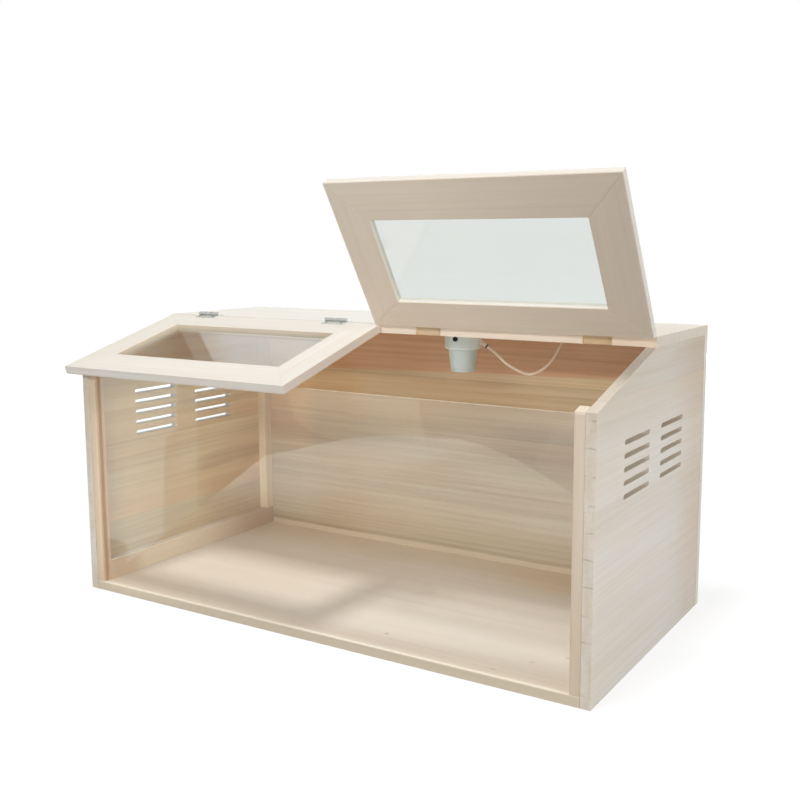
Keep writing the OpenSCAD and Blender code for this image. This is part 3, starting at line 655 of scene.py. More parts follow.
def clear_sheet(name, tint):
    """Clear plastic: lets light through, mirrors more at a low angle, and carries a faint haze"""
    m, out, at = blank(name)
    t = out.tree
    low = Node(t, "ShaderNodeLayerWeight", {"Blend": 0.5})["Facing"]
    haze = soft(noise(at, (4.8, 4.8, 8.0), 3.0), 0.4, 0.7, 0.0, 0.006)
    through = Node(t, "ShaderNodeBsdfTransparent", {"Color": rgba(tint)})[0]
    shine = Node(t, "ShaderNodeBsdfGlossy", {"Color": (0.97, 0.98, 0.98, 1.0), "Roughness": 0.01})[0]
    both = either(low.calc("POWER", 5.0) * 0.95 + 0.045 + haze, through, shine)
    lamps = Node(t, "ShaderNodeBsdfTransparent", {"Color": (0.99, 0.99, 0.99, 1.0)})[0]
    out.feed("Surface", either(Node(t, "ShaderNodeLightPath")["Is Shadow Ray"], both, lamps))
    return m


def moulded(name, base, smudge, tone, low, high, bump=0.1, grain=1500.0, relief=0.1 * MM, **plain):
    """Moulded plastic, rubber or a dull coat"""
    m, out, at = blank(name)
    got = Node(out.tree, "ShaderNodeGroup", {
        "Vector": at, "Base": rgba(base), "Smudge": rgba(display(*smudge)), "Smudge Tone": tone,
        "Grain": grain, "Rough Low": low, "Rough High": high,
    }, node_tree=moulded_surface())
    surface(out, got["Color"], got, bump, relief, **plain)
    return m


def brushed(name, base, tarnish, along, low, high):
    """Metal with a drawn or brushed grain along one way, and a little tarnish"""
    m, out, at = blank(name)
    hair = noise(turned_to(at, along, Z if abs(along.z) < 0.9 else Y), (60.0, 2600.0, 2600.0))
    worn = soft(noise(at, 120.0, 4.0, 0.65), 0.45, 0.75, 0.0, 0.6)
    color = mix(worn, rgba(base), rgba(display(*tarnish)))
    got = {"Roughness": ramp(hair, 0.3, 0.7, low, high), "Height": hair}
    surface(out, color, got, 0.15, 0.05 * MM, Metallic=1.0)
    return m


def finish(name):
    """A finish that several pieces use, made once"""
    c = colours()
    # the canopy's colour is the same white plastic, lighter; the cup's darker holder colour is painted shade
    canopy, plug, screw = display(230, 241, 240), display(232, 228, 220), display(150, 149, 145)
    makers = {
        "plated_steel": lambda: brushed(name, c.steel, (196, 193, 186), X, 0.42, 0.56),
        "screw_steel": lambda: brushed(name, screw, (92, 90, 86), X, 0.25, 0.45),
        "drawn_brass": lambda: brushed(name, c.brass, (150, 116, 66), Z, 0.25, 0.45),
        "plated_pin": lambda: brushed(name, c.pin, (160, 152, 134), X, 0.15, 0.3),
        "blackened_screw": lambda: moulded(name, c.black, (60, 58, 55), 0.4, 0.3, 0.5, Metallic=0.6),
        "soft_rubber": lambda: moulded(name, c.rubber, (84, 82, 80), 0.4, 0.55, 0.75, 0.2),
        "moulded_holder": lambda: moulded(name, c.holder, (208, 219, 215), 0.5, 0.28, 0.42, 0.06, 900.0),
        "moulded_canopy": lambda: moulded(name, canopy, (220, 232, 231), 0.5, 0.3, 0.45, 0.06, 900.0),
        "cord_sleeve": lambda: moulded(name, c.cord, (243, 229, 212), 0.5, 0.4, 0.55, 0.08, 1200.0),
        "moulded_plug": lambda: moulded(name, plug, (222, 217, 206), 0.5, 0.35, 0.5, 0.12, 1800.0),
        "sheet_edge": lambda: moulded(
            name, c.sheet_edge, (214, 222, 214), 0.5, 0.25, 0.45, 0.2, 2400.0, 0.2 * MM, Alpha=0.8
        ),
    }
    return bpy.data.materials.get(name) or makers[name]()


# Meshes

WELD = 1e-6
FLAT = math.radians(0.6)


def place(obj, slot, *nodes):
    """Links a piece to its body and hides the nodes that it stands for; slot is not used"""
    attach(obj, BODY_OF[nodes[0]])
    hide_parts(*nodes)
    return obj


def new_object(name, data):
    obj = bpy.data.objects.new(name, data)
    bpy.context.scene.collection.objects.link(obj)
    return obj


def from_bmesh(bm, name, *materials):
    mesh = bpy.data.meshes.new(name)
    bm.to_mesh(mesh)
    bm.free()
    for m in materials:
        mesh.materials.append(m)
    return new_object(name, mesh)


def corners_of(node):
    return [v.co for v in frame["nodes"][node].data.vertices]


def outline_of(node):
    """Copy of a node's mesh with its triangles joined into plain faces"""
    bm = bmesh.new()
    bm.from_mesh(frame["nodes"][node].data)
    bmesh.ops.remove_doubles(bm, verts=bm.verts, dist=WELD)
    bmesh.ops.dissolve_limit(bm, angle_limit=FLAT, verts=bm.verts, edges=bm.edges)
    return bm


def plain_solid(node):
    """A straight piece without its grooves, which no view shows"""
    bm = bmesh.new()
    for corner in corners_of(node):
        bm.verts.new(corner)
    bmesh.ops.remove_doubles(bm, verts=bm.verts, dist=WELD)
    bmesh.ops.convex_hull(bm, input=bm.verts)
    bmesh.ops.delete(bm, geom=[v for v in bm.verts if not v.link_faces], context="VERTS")
    bmesh.ops.dissolve_limit(bm, angle_limit=FLAT, verts=bm.verts, edges=bm.edges)
    bmesh.ops.recalc_face_normals(bm, faces=bm.faces)
    return bm


def ease(obj, width):
    """Rounds the edges of a piece a little, so that they catch the light"""
    b = obj.modifiers.new("eased_edges", "BEVEL")
    b.width, b.segments, b.limit_method, b.angle_limit = width, 2, "ANGLE", math.radians(35)
    b.harden_normals = False
    return obj


def smooth(obj, degrees=35):
    """Smooth shading that keeps the sharp edges"""
    obj.data.shade_smooth()
    obj.data.set_sharp_from_angle(angle=math.radians(degrees))
    return obj


def eased_copy(node, material, slot, width, plain=False, round_sides=False):
    """A node's own shape with eased edges and a finish"""
    obj = from_bmesh(plain_solid(node) if plain else outline_of(node), node + "_finish", material)
    if round_sides:
        smooth(obj)
    return place(ease(obj, width), slot, node)


def grid(bm, rings, caps=True):
    """Skin over closed rings of points, each with the same count"""
    rows = [[bm.verts.new(p) for p in ring] for ring in rings]
    count = len(rows[0])
    for a, b in zip(rows, rows[1:]):
        for k in range(count):
            bm.faces.new((a[k], a[(k + 1) % count], b[(k + 1) % count], b[k]))
    if caps:
        bm.faces.new(list(reversed(rows[0])))
        bm.faces.new(rows[-1])


def circle(sides):
    return [2 * math.pi * k / sides for k in range(sides)]


def lathe(bm, profile, origin, sides=96, axis=Z, start=X):
    """Turns a closed profile of radius and height, in millimetres, round an axis"""
    side = axis.cross(start)
    shape = [(r * MM, h * MM) for r, h in profile]
    rows = []
    for a in circle(sides):
        out = start * math.cos(a) + side * math.sin(a)
        rows.append([bm.verts.new(origin + out * r + axis * h) for r, h in shape])
    n = len(shape)
    for k in range(sides):
        a, b = rows[k], rows[(k + 1) % sides]
        for j in range(n):
            bm.faces.new((a[j], b[j], b[(j + 1) % n], a[(j + 1) % n]))


def fillet(corner, before, after, radius, steps=5):
    """Points of a rounded corner of a profile"""
    c, b, a = Vector(corner), Vector(before), Vector(after)
    p, q = c + (b - c).normalized() * radius, c + (a - c).normalized() * radius
    return [tuple(p.lerp(c, s).lerp(c.lerp(q, s), s)) for s in [k / steps for k in range(steps + 1)]]


def rounded(*corners):
    """Closed profile from corners of radius, height and rounding"""
    got = []
    for k, (r, h, rounding) in enumerate(corners):
        before, after = corners[k - 1][:2], corners[(k + 1) % len(corners)][:2]
        got += fillet((r, h), before, after, rounding) if rounding else [(r, h)]
    return got


def weld(bm):
    bmesh.ops.remove_doubles(bm, verts=bm.verts, dist=0.1 * WELD)
    bmesh.ops.recalc_face_normals(bm, faces=bm.faces)
    return bm


def dress(node, material):
    """Finish on a node that keeps its own shape"""
    frame["nodes"][node].data.materials.clear()
    frame["nodes"][node].data.materials.append(material)


def lid_frame(side):
    """Ways of a lid: along its depth, and square to it"""
    a = sizes().lid_slope - (0 if side == "left" else sizes().right_open)
    return Vector((0, math.cos(a), math.sin(a))), Vector((0, -math.sin(a), math.cos(a)))


# Geometry node trees

GEOMETRY, PLACE, MATERIAL = "NodeSocketGeometry", "NodeSocketVector", "NodeSocketMaterial"


def geometry_tree(name, ins):
    """Modifier tree with its two end nodes"""
    t = bpy.data.node_groups.new(name, "GeometryNodeTree")
    t.is_modifier = True
    return t, *ends_of(t, {"Geometry": GEOMETRY, **ins}, {"Geometry": GEOMETRY})


def run_tree(obj, tree, values):
    """Runs a tree on a piece and keeps the result as its plain mesh"""
    mod = obj.modifiers.new("maker", "NODES")
    mod.node_group = tree
    for item in tree.interface.items_tree:
        if item.item_type == "SOCKET" and item.in_out == "INPUT" and item.name in values:
            mod[item.identifier] = values[item.name]
    graph = bpy.context.evaluated_depsgraph_get()
    done = obj.evaluated_get(graph)
    mesh = bpy.data.meshes.new_from_object(done, preserve_all_data_layers=True, depsgraph=graph)
    obj.modifiers.remove(mod)
    old, obj.data = obj.data, mesh
    bpy.data.meshes.remove(old)
    mesh.name = obj.name
    return obj


def moved(geometry, by, turn=(0.0, 0.0, 0.0)):
    inputs = {"Geometry": geometry, "Translation": by, "Rotation": turn}
    return Node(geometry.tree, "GeometryNodeTransform", inputs)[0]


def on_points(points, instance, **more):
    inputs = {"Points": points, "Instance": instance, **more}
    return Node(points.tree, "GeometryNodeInstanceOnPoints", inputs)[0]


def real(geometry):
    return Node(geometry.tree, "GeometryNodeRealizeInstances", {0: geometry})[0]


def cut(solid, cutters, **more):
    inputs = {0: solid, 1: cutters, **more}
    return Node(solid.tree, "GeometryNodeMeshBoolean", inputs, operation="DIFFERENCE", solver="EXACT")["Mesh"]


def vent_tree():
    """Rows and columns of round-ended slots cut through a board along X"""
    t, i, out = geometry_tree("vent_slots", {
        "Slot Length": 0.086, "Slot Height": 0.006, "Cut Depth": 0.03, "Rows": 5, "Row Pitch": 0.016,
        "Column Step": 0.127, "First Slot": PLACE, "Material": MATERIAL,
    })
    size = {"Vertices": 32, "Radius": i["Slot Height"] * 0.5, "Depth": i["Cut Depth"]}
    end = Node(t, "GeometryNodeMeshCylinder", size)["Mesh"]
    run = (i["Slot Length"] - i["Slot Height"]) * 0.5
    both_ends = Node(t, "GeometryNodeJoinGeometry")
    for sign in (-1.0, 1.0):
        both_ends.feed(0, moved(end, offset(1, run * sign), (0.0, math.pi / 2, 0.0)))
    slot = Node(t, "GeometryNodeConvexHull", {0: both_ends[0]})[0]
    fall = {"Count": i["Rows"], "Offset": offset(2, i["Row Pitch"] * -1.0)}
    rows = Node(t, "GeometryNodeMeshLine", fall)[0]
    step = {"Count": 2, "Start Location": i["First Slot"], "Offset": offset(1, i["Column Step"])}
    columns = Node(t, "GeometryNodeMeshLine", step)[0]
    done = real(cut(i["Geometry"], real(on_points(columns, on_points(rows, slot)))))
    out.feed(0, Node(t, "GeometryNodeSetMaterial", {"Geometry": done, "Material": i["Material"]})[0])
    return t


def screw_tree():
    """Screws with a cross recess on points; each points along the attribute head_way"""
    t, i, out = geometry_tree("cross_screws", {
        "Head Diameter": 0.0046, "Head Foot Diameter": 0.0026, "Head Height": 0.001, "Head Lift": 0.0,
        "Shank Diameter": 0.0026, "Shank Length": 0.008, "Recess Width": 0.0006, "Seed": 3,
        "Material": MATERIAL,
    })
    radii = {"Radius Top": i["Head Diameter"] * 0.5, "Radius Bottom": i["Head Foot Diameter"] * 0.5}
    head = Node(t, "GeometryNodeMeshCone", {"Vertices": 40, "Depth": i["Head Height"], **radii})["Mesh"]
    foot = i["Head Lift"] - i["Head Height"]
    head = moved(head, offset(2, foot))
    recess = Node(t, "GeometryNodeJoinGeometry")
    long, deep = i["Head Diameter"] * 0.56, i["Head Height"] * 1.3
    for k in (0, 1):
        size = Node(t, "ShaderNodeCombineXYZ", {k: long, 1 - k: i["Recess Width"], 2: deep})[0]
        bar = Node(t, "GeometryNodeMeshCube", {"Size": size})["Mesh"]
        recess.feed(0, moved(bar, offset(2, i["Head Lift"])))
    head = cut(head, recess[0], **{"Self Intersection": True})
    size = {"Vertices": 20, "Radius": i["Shank Diameter"] * 0.5, "Depth": i["Shank Length"]}
    shank = Node(t, "GeometryNodeMeshCylinder", size)["Mesh"]
    screw = Node(t, "GeometryNodeJoinGeometry", {0: head})
    screw.feed(0, moved(shank, offset(2, foot - i["Shank Length"] * 0.5)))
    named = Node(t, "GeometryNodeInputNamedAttribute", {"Name": "head_way"}, data_type="FLOAT_VECTOR")
    turn = Node(t, "FunctionNodeAlignRotationToVector", {"Vector": named["Attribute"]}, axis="Z")[0]
    twist = Node(t, "FunctionNodeRandomValue", {"Seed": i["Seed"]}, data_type="FLOAT")[1]
    spin = {"Rotation": turn, "Rotate By": offset(2, twist * 1.5)}
    turn = Node(t, "FunctionNodeRotateRotation", spin, rotation_space="LOCAL")[0]
    done = real(on_points(i["Geometry"], screw[0], Rotation=turn))
    out.feed(0, Node(t, "GeometryNodeSetMaterial", {"Geometry": done, "Material": i["Material"]})[0])
    return t


def screws(name, places, values, material, node, slot):
    """Screws at places, each a point and the way its head faces"""
    mesh = bpy.data.meshes.new(name)
    mesh.from_pydata([p for p, _ in places], [], [])
    attribute = mesh.attributes.new("head_way", "FLOAT_VECTOR", "POINT")
    attribute.data.foreach_set("vector", [x for _, way in places for x in way])
    obj = new_object(name, mesh)
    tree = bpy.data.node_groups.get("cross_screws") or screw_tree()
    run_tree(obj, tree, dict(values, Material=material))
    return place(smooth(obj, 30), slot, node)


# Cord


def gland_root():
    """Where the cord leaves the canopy, in millimetres, and the way it points there"""
    turn, tilt = math.radians(15), math.radians(35)
    root = Vector((LAMP_X + CANOPY_R * math.cos(turn), LAMP_Y + CANOPY_R * math.sin(turn), ROOF_Z - 17))
    return root, Vector((math.cos(tilt) * math.cos(turn), math.cos(tilt) * math.sin(turn), -math.sin(tilt)))


def finer(line):
    """Same line with one more point between each two"""
    got = []
    for k in range(len(line) - 1):
        b, c = line[k], line[k + 1]
        a = line[k - 1] if k else 2 * b - c
        d = line[k + 2] if k + 2 < len(line) else 2 * c - b
        got += [b, (9 * (b + c) - a - d) / 16]
    return got + [line[-1]]


# Slack loop under the roof: shares of the way from the gland to the hole, and the fall below the roof
SLACK = (
    (0.1204, 0.0626, 33), (0.2384, 0.1398, 46), (0.3886, 0.2501, 57), (0.5387, 0.3714, 64),
    (0.6889, 0.4927, 59), (0.8176, 0.603, 46), (0.8927, 0.6692, 31), (0.9356, 0.7353, 19),
    (0.9785, 0.8346, 11), (1, 0.9559, 9),
)


def cord_line():
    """Middle line of the cord, in millimetres: loop, hole, down the back, coil and plug"""
    hole_x, wall_y, hole_z = HOLE
    cord, coil_x, coil_y, low_z = 4.0, 120.0, 256.75, 2.9
    root, way = gland_root()
    tip = root + 11 * way
    route = [tip, tip + cord * way]
    for a, b, fall in SLACK:
        route.append(Vector((tip.x + a * (hole_x - tip.x), tip.y + b * (wall_y - tip.y), ROOF_Z - fall)))
    route.append(Vector((hole_x, wall_y + 6.5, hole_z)))
    top_bend, low_bend = 21.0, 28.0
    for a in map(math.radians, (0, 25, 50, 75)):
        over = LEAD_Y - top_bend + top_bend * math.sin(a)
        route.append(Vector((hole_x, over, hole_z - top_bend + top_bend * math.cos(a))))
    begin, end = hole_z - top_bend, low_z + low_bend
    route += [Vector((hole_x, LEAD_Y, begin + (end - begin) * k / 12)) for k in range(13)]
    for a in map(math.radians, (30, 60, 90)):
        across = hole_x - low_bend + low_bend * math.cos(a)
        route.append(Vector((across, LEAD_Y, end - low_bend * math.sin(a))))
    first, last = hole_x - low_bend, coil_x + cord
    route += [Vector((first + (last - first) * k / 3, LEAD_Y, low_z)) for k in (1, 2, 3)]
    line = finer(route)[:-1]
    turns, gap, least = 7, 4.5, 16
    half = turns * 180
    for degrees in range(0, 2 * half + 1, 15):
        r = least + gap * abs(degrees - half) / 360
        s = min(max((degrees - half + 90) / 180, 0.0), 1.0)
        a = math.radians(degrees)
        z = low_z + gap * s * s * (3 - 2 * s)
        line.append(Vector((coil_x - r * math.sin(a), coil_y - r * math.cos(a), z)))
    return line + [Vector((x, LEAD_Y, PLUG_Z)) for x in (98.0, 92.0, 86.0)]


# Steps


class BROODER_OT_camera(bpy.types.Operator):
    """Sets the camera where the photograph was taken from"""

    bl_idname = "brooder.camera"
    bl_label = "Camera"

    def execute(self, context):
        s = context.scene.brooder_stage
        data = bpy.data.cameras.new("camera")
        data.lens, data.sensor_width, data.sensor_fit = s.lens, 36.0, "HORIZONTAL"
        data.shift_x, data.shift_y = s.shift
        data.clip_start, data.clip_end = 0.01, 100.0
        cam = new_object("camera", data)
        level = math.cos(s.tilt)
        ahead = Vector((math.sin(s.turn) * level, math.cos(s.turn) * level, -math.sin(s.tilt)))
        right = Vector((math.cos(s.turn), -math.sin(s.turn), 0.0))
        up = right.cross(ahead)
        cam.matrix_world = Matrix.Translation(s.eye) @ Matrix((right, up, -ahead)).transposed().to_4x4()
        context.scene.camera = cam
        return {"FINISHED"}


class BROODER_OT_cord(bpy.types.Operator):
    """Makes the holder's cord in one run, its two ties, and the plug with its pins"""

    bl_idname = "brooder.cord"
    bl_label = "Cord and plug"

    def execute(self, context):
        line = [p * MM for p in finer(cord_line())]
        width, sleeve = sizes().cord_width, finish("cord_sleeve")
        data = bpy.data.curves.new("cord", "CURVE")
        data.dimensions, data.use_fill_caps = "3D", True
        data.bevel_depth, data.bevel_resolution = width / 2, 3
        spline = data.splines.new("POLY")
        spline.points.add(len(line) - 1)
        spline.points.foreach_set("co", [x for p in line for x in (*p, 1.0)])
        spline.use_smooth = True
        data.materials.append(sleeve)
        cord = place(new_object("cord", data), "cord_sheath", "cord_lead", "cord_coil")
        ties = eased_copy("cord_ties", sleeve, "cord_sheath", 0.2 * MM)
        plug, pins = self.plug(), self.pins()
        long = sum((b - a).length for a, b in zip(line, line[1:]))
        return {"FINISHED"}

    def plug(self):
        """Flat two-pin plug with rounded shoulders and a ribbed tail"""
        rings = []

        def ring(x, wide, high, power):
            """Adds an oval of half width and half height; a higher power makes it squarer"""
            points = []
            for a in circle(48):
                c, s = math.cos(a), math.sin(a)
                y = LEAD_Y + wide * math.copysign(abs(c) ** (2 / power), c)
                z = PLUG_Z + high * math.copysign(abs(s) ** (2 / power), s)
                points.append(Vector((x, y, z)) * MM)
            rings.append(points)

        ring(98.0, 2.4, 2.4, 2)
        for rib in range(6):
            x, r = 97.6 - 3.9 * rib, 3.0 + 0.4 * rib
            for back, out in ((0, 0), (2.2, 0.15), (2.5, -0.5), (3.6, -0.4)):
                ring(x - back, r + out, r + out, 2)
        for k in range(9):
            s = k / 8
            e = s * s * (3 - 2 * s)
            ring(73.5 - 13.5 * s, 5.2 + 11.8 * e, 5.2 + 1.9 * e, 2 + 2.6 * e)
        for x, wide, high in ((52.0, 17.4, 7.3), (37.0, 17.4, 7.3), (35.8, 17.0, 7.0), (35.2, 16.2, 6.2)):
            ring(x, wide, high, 5)
        bm = bmesh.new()
        grid(bm, rings)
        obj = from_bmesh(weld(bm), "plug", finish("moulded_plug"))
        return place(smooth(obj, 50), "plug_plastic", "plug_body")

    def pins(self):
        """Two round pins with a sleeved root and a rounded tip"""
        face_x, apart, sleeve_end = 35.3, 9.3, 25.4
        shape = [
            (0.0, -6.0), (2.0, -6.0), (2.0, 9.8), (1.9, 10.0),
            (1.9, 17.6), (1.5, 18.7), (0.8, 19.2), (0.0, 19.3),
        ]
        bm = bmesh.new()
        for side in (-1, 1):
            lathe(bm, shape, Vector((face_x, LEAD_Y + side * apart, PLUG_Z)) * MM, 32, -X, Y)
        weld(bm)
        for face in bm.faces:
            face.material_index = 1 if face.calc_center_median().x > sleeve_end * MM else 0
        obj = from_bmesh(bm, "plug_pins_turned", finish("plated_pin"), finish("moulded_plug"))
        return place(smooth(obj, 40), "pin_metal", "plug_pins")


class BROODER_OT_boards(bpy.types.Operator):
    """Makes the floor, the back, the roof and the two vented ends"""

    bl_idname = "brooder.boards"
    bl_label = "Boards"

    def execute(self, context):
        w = sizes().wood_ease
        floor = wood("floor_wood", "floor", X, Y, (0, 0, 0), 3.3, floor_face)
        eased_copy("floor_board", floor, "floor_wood", w, plain=True)
        back = wood("back_wood", "back", X, Z, (0, 0.2, 0), 5.6, back_face)
        eased_copy("back_panel", back, "inner_wood", w)
        roof = wood("roof_wood", "lid", X, Y, (0, 0, 0.387), 8.4, roof_face)
        eased_copy("roof_board", roof, "pale_board", w)
        for side, seed in zip(SIDES, (2.2, 6.1)):
            self.end(side, wood(side + "_end_wood", "board", Y, Z, (0, 0, 0), seed, end_face))
        return {"FINISHED"}

    def end(self, side, material):
        """End board: its outline, with rows of slots cut through"""
        s, node, slack = sizes(), "side_panel_" + side, 1e-5
        low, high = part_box(node)
        rim = {(round(v.y, 6), round(v.z, 6)) for v in corners_of(node)}
        top = max(z for _, z in rim)
        nose = max(z for y, z in rim if y < low.y + slack)
        knee = min(y for y, z in rim if z > top - slack)
        outline = [(low.y, low.z), (high.y, low.z), (high.y, top), (knee, top), (low.y, nose)]
        bm = bmesh.new()
        grid(bm, [[(x, y, z) for y, z in outline] for x in (low.x, high.x)])
        obj = from_bmesh(weld(bm), node + "_finish", material)
        run_tree(obj, bpy.data.node_groups.get("vent_slots") or vent_tree(), {
            "Slot Length": s.vent_length, "Slot Height": s.vent_height, "Cut Depth": 3 * (high.x - low.x),
            "Rows": s.vent_rows, "Row Pitch": s.vent_pitch, "Column Step": s.vent_step,
            "First Slot": ((low.x + high.x) / 2, s.vent_front, s.vent_top), "Material": material,
        })
        place(ease(obj, s.wood_ease), "pale_board", node)


class BROODER_OT_battens(bpy.types.Operator):
    """Makes the front battens, the rear corner battens and the floor cleats"""

    bl_idname = "brooder.battens"
    bl_label = "Battens and cleats"

    def execute(self, context):
        for k, side in enumerate(SIDES):
            for piece, kind, slot, along, across, look in (
                ("front_batten_", "batten", "inner_wood", Z, X, batten_face),
                ("rear_batten_", "batten", "inner_wood", Z, X, rear_face),
                ("floor_cleat_", "floor", "floor_wood", Y, Z, cleat_face),
            ):
                node = piece + side
                low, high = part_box(node)
                seed = 1.7 * k + 0.4 + len(piece)
                m = wood(node + "_wood", kind, along, across, (low + high) / 2, seed, look)
                eased_copy(node, m, slot, sizes().wood_ease, plain=True)
        return {"FINISHED"}


class BROODER_OT_lids(bpy.types.Operator):
    """Makes the mitred frames of both lids"""

    bl_idname = "brooder.lids"
    bl_label = "Lid frames"

    def execute(self, context):
        # painted warm shade at the left lid's window edge, none on the right
        window_edge_shade = {"left": (1.0, 0.92, 0.83), "right": (1.0, 1.0, 1.0)}
        far_edges = {"left": ("stile_outer", "front_rail"), "right": ("stile_inner", "front_rail")}
        for n, side in enumerate(SIDES):
            along, square = lid_frame(side)
            for k, bar in enumerate(("stile_outer", "stile_inner", "hinge_rail", "front_rail")):
                node = f"lid_{side}_{bar}"
                low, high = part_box(node)
                run, over = (along, X) if bar.startswith("stile") else (X, along)
                reach = [(corner - PIN).dot(over) for corner in corners_of(node)]
                edge = max(reach) if bar in far_edges[side] else min(reach)
                look = lid_face(square, over, edge, window_edge_shade[side])
                m = wood(node + "_wood", "lid", run, over, (low + high) / 2, 0.37 + 2.13 * k + 5.1 * n, look)
                eased_copy(node, m, "pale_board", sizes().wood_ease, plain=True)
        return {"FINISHED"}


class BROODER_OT_sheets(bpy.types.Operator):
    """Makes the clear front and the clear panes of the lids, with frosted edges"""

    bl_idname = "brooder.sheets"
    bl_label = "Clear sheets"

    def execute(self, context):
        c = colours()
        self.finish(outline_of("front_pane"), "front_pane", Y, c.front_sheet)
        for side in SIDES:
            self.finish(self.window(side), f"lid_{side}_pane", lid_frame(side)[1], c.lid_sheet)
        return {"FINISHED"}

    def window(self, side):
        """Sheet that fills the window of a lid's frame"""
        along, square = lid_frame(side)

        def reach(node, way):
            return [(corner - PIN).dot(way) for corner in corners_of(f"lid_{side}_{node}")]

        stiles = sorted((reach("stile_outer", X), reach("stile_inner", X)), key=sum)
        into = sizes().sheet_ease
        x0, x1 = max(stiles[0]) - into, min(stiles[1]) + into
        s0, s1 = max(reach("front_rail", along)) - into, min(reach("hinge_rail", along)) + into
        rim = [PIN + X * x + along * d for x, d in ((x0, s0), (x1, s0), (x1, s1), (x0, s1))]
        deep = reach("pane", square)
        bm = bmesh.new()
        grid(bm, [[p + square * h for p in rim] for h in (min(deep), max(deep))])
        return weld(bm)

    def finish(self, bm, node, square, tint):
        """Clear faces and frosted edges"""
        bm.normal_update()
        for face in bm.faces:
            face.material_index = 0 if abs(face.normal.dot(square)) > 0.7 else 1
        obj = from_bmesh(bm, node + "_finish", clear_sheet(node + "_sheet", tint), finish("sheet_edge"))
        ease(obj, sizes().sheet_ease).modifiers[0].material = 1
        place(obj, "clear_sheet", node)


class BROODER_OT_hinges(bpy.types.Operator):
    """Makes the leaves and pins of the four hinges"""

    bl_idname = "brooder.hinges"
    bl_label = "Hinges"

    def execute(self, context):
        steel = finish("plated_steel")
        for k in (1, 2, 3, 4):
            for leaf in ("roof", "lid"):
                node = f"hinge_{k}_{leaf}_leaf"
                eased_copy(node, steel, "hinge_steel", sizes().metal_ease, round_sides=True)
        dress("hinge_pins", steel)
        return {"FINISHED"}


class BROODER_OT_screws(bpy.types.Operator):
    """Puts screws in the hinge leaves and in the bulb holder"""

    bl_idname = "brooder.screws"
    bl_label = "Screws"

    def execute(self, context):
        s = sizes()
        along, out, lift = 13 * MM, 8.16 * MM, -1.6 * MM
        sunk = {"Head Diameter": s.screw_head, "Head Foot Diameter": s.screw_shank, "Head Height": 1.0 * MM,
                "Shank Diameter": s.screw_shank, "Shank Length": 8.0 * MM, "Recess Width": 0.6 * MM}
        leaves = [("roof_screws", "roof_leaf_screws", HINGE_X, Y, Z)]
        for side, middles in zip(SIDES, (HINGE_X[:2], HINGE_X[2:])):
            run, square = lid_frame(side)
            leaves.append((f"lid_{side}_screws", f"lid_{side}_leaf_screws", middles, -run, square))
        for name, node, middles, way, square in leaves:
            line = Vector((0.0, PIN.y, PIN.z)) + way * out + square * lift
            places = [(line + X * (x + d), square) for x in middles for d in (-along, along)]
            screws(name, places, sunk, finish("screw_steel"), node, "hinge_steel")
        pan = {"Head Diameter": 7.0 * MM, "Head Foot Diameter": 7.0 * MM, "Head Height": 2.0 * MM,
               "Head Lift": 2.0 * MM, "Shank Diameter": 3.0 * MM, "Shank Length": 8.0 * MM,
               "Recess Width": 0.8 * MM, "Seed": 5}
        turn, middle = 0.09, Vector((LAMP_X, LAMP_Y, ROOF_Z - 11)) * MM
        ways = [Vector((-d * math.sin(turn), d * math.cos(turn), 0)) for d in (-1, 1)]
        places = [(middle + way * CANOPY_R * MM, way) for way in ways]
        black = finish("blackened_screw")
        screws("holder_side_screws", places, pan, black, "lamp_side_screws", "black_screw")
        dress("lamp_strap_screws", finish("screw_steel"))
        return {"FINISHED"}


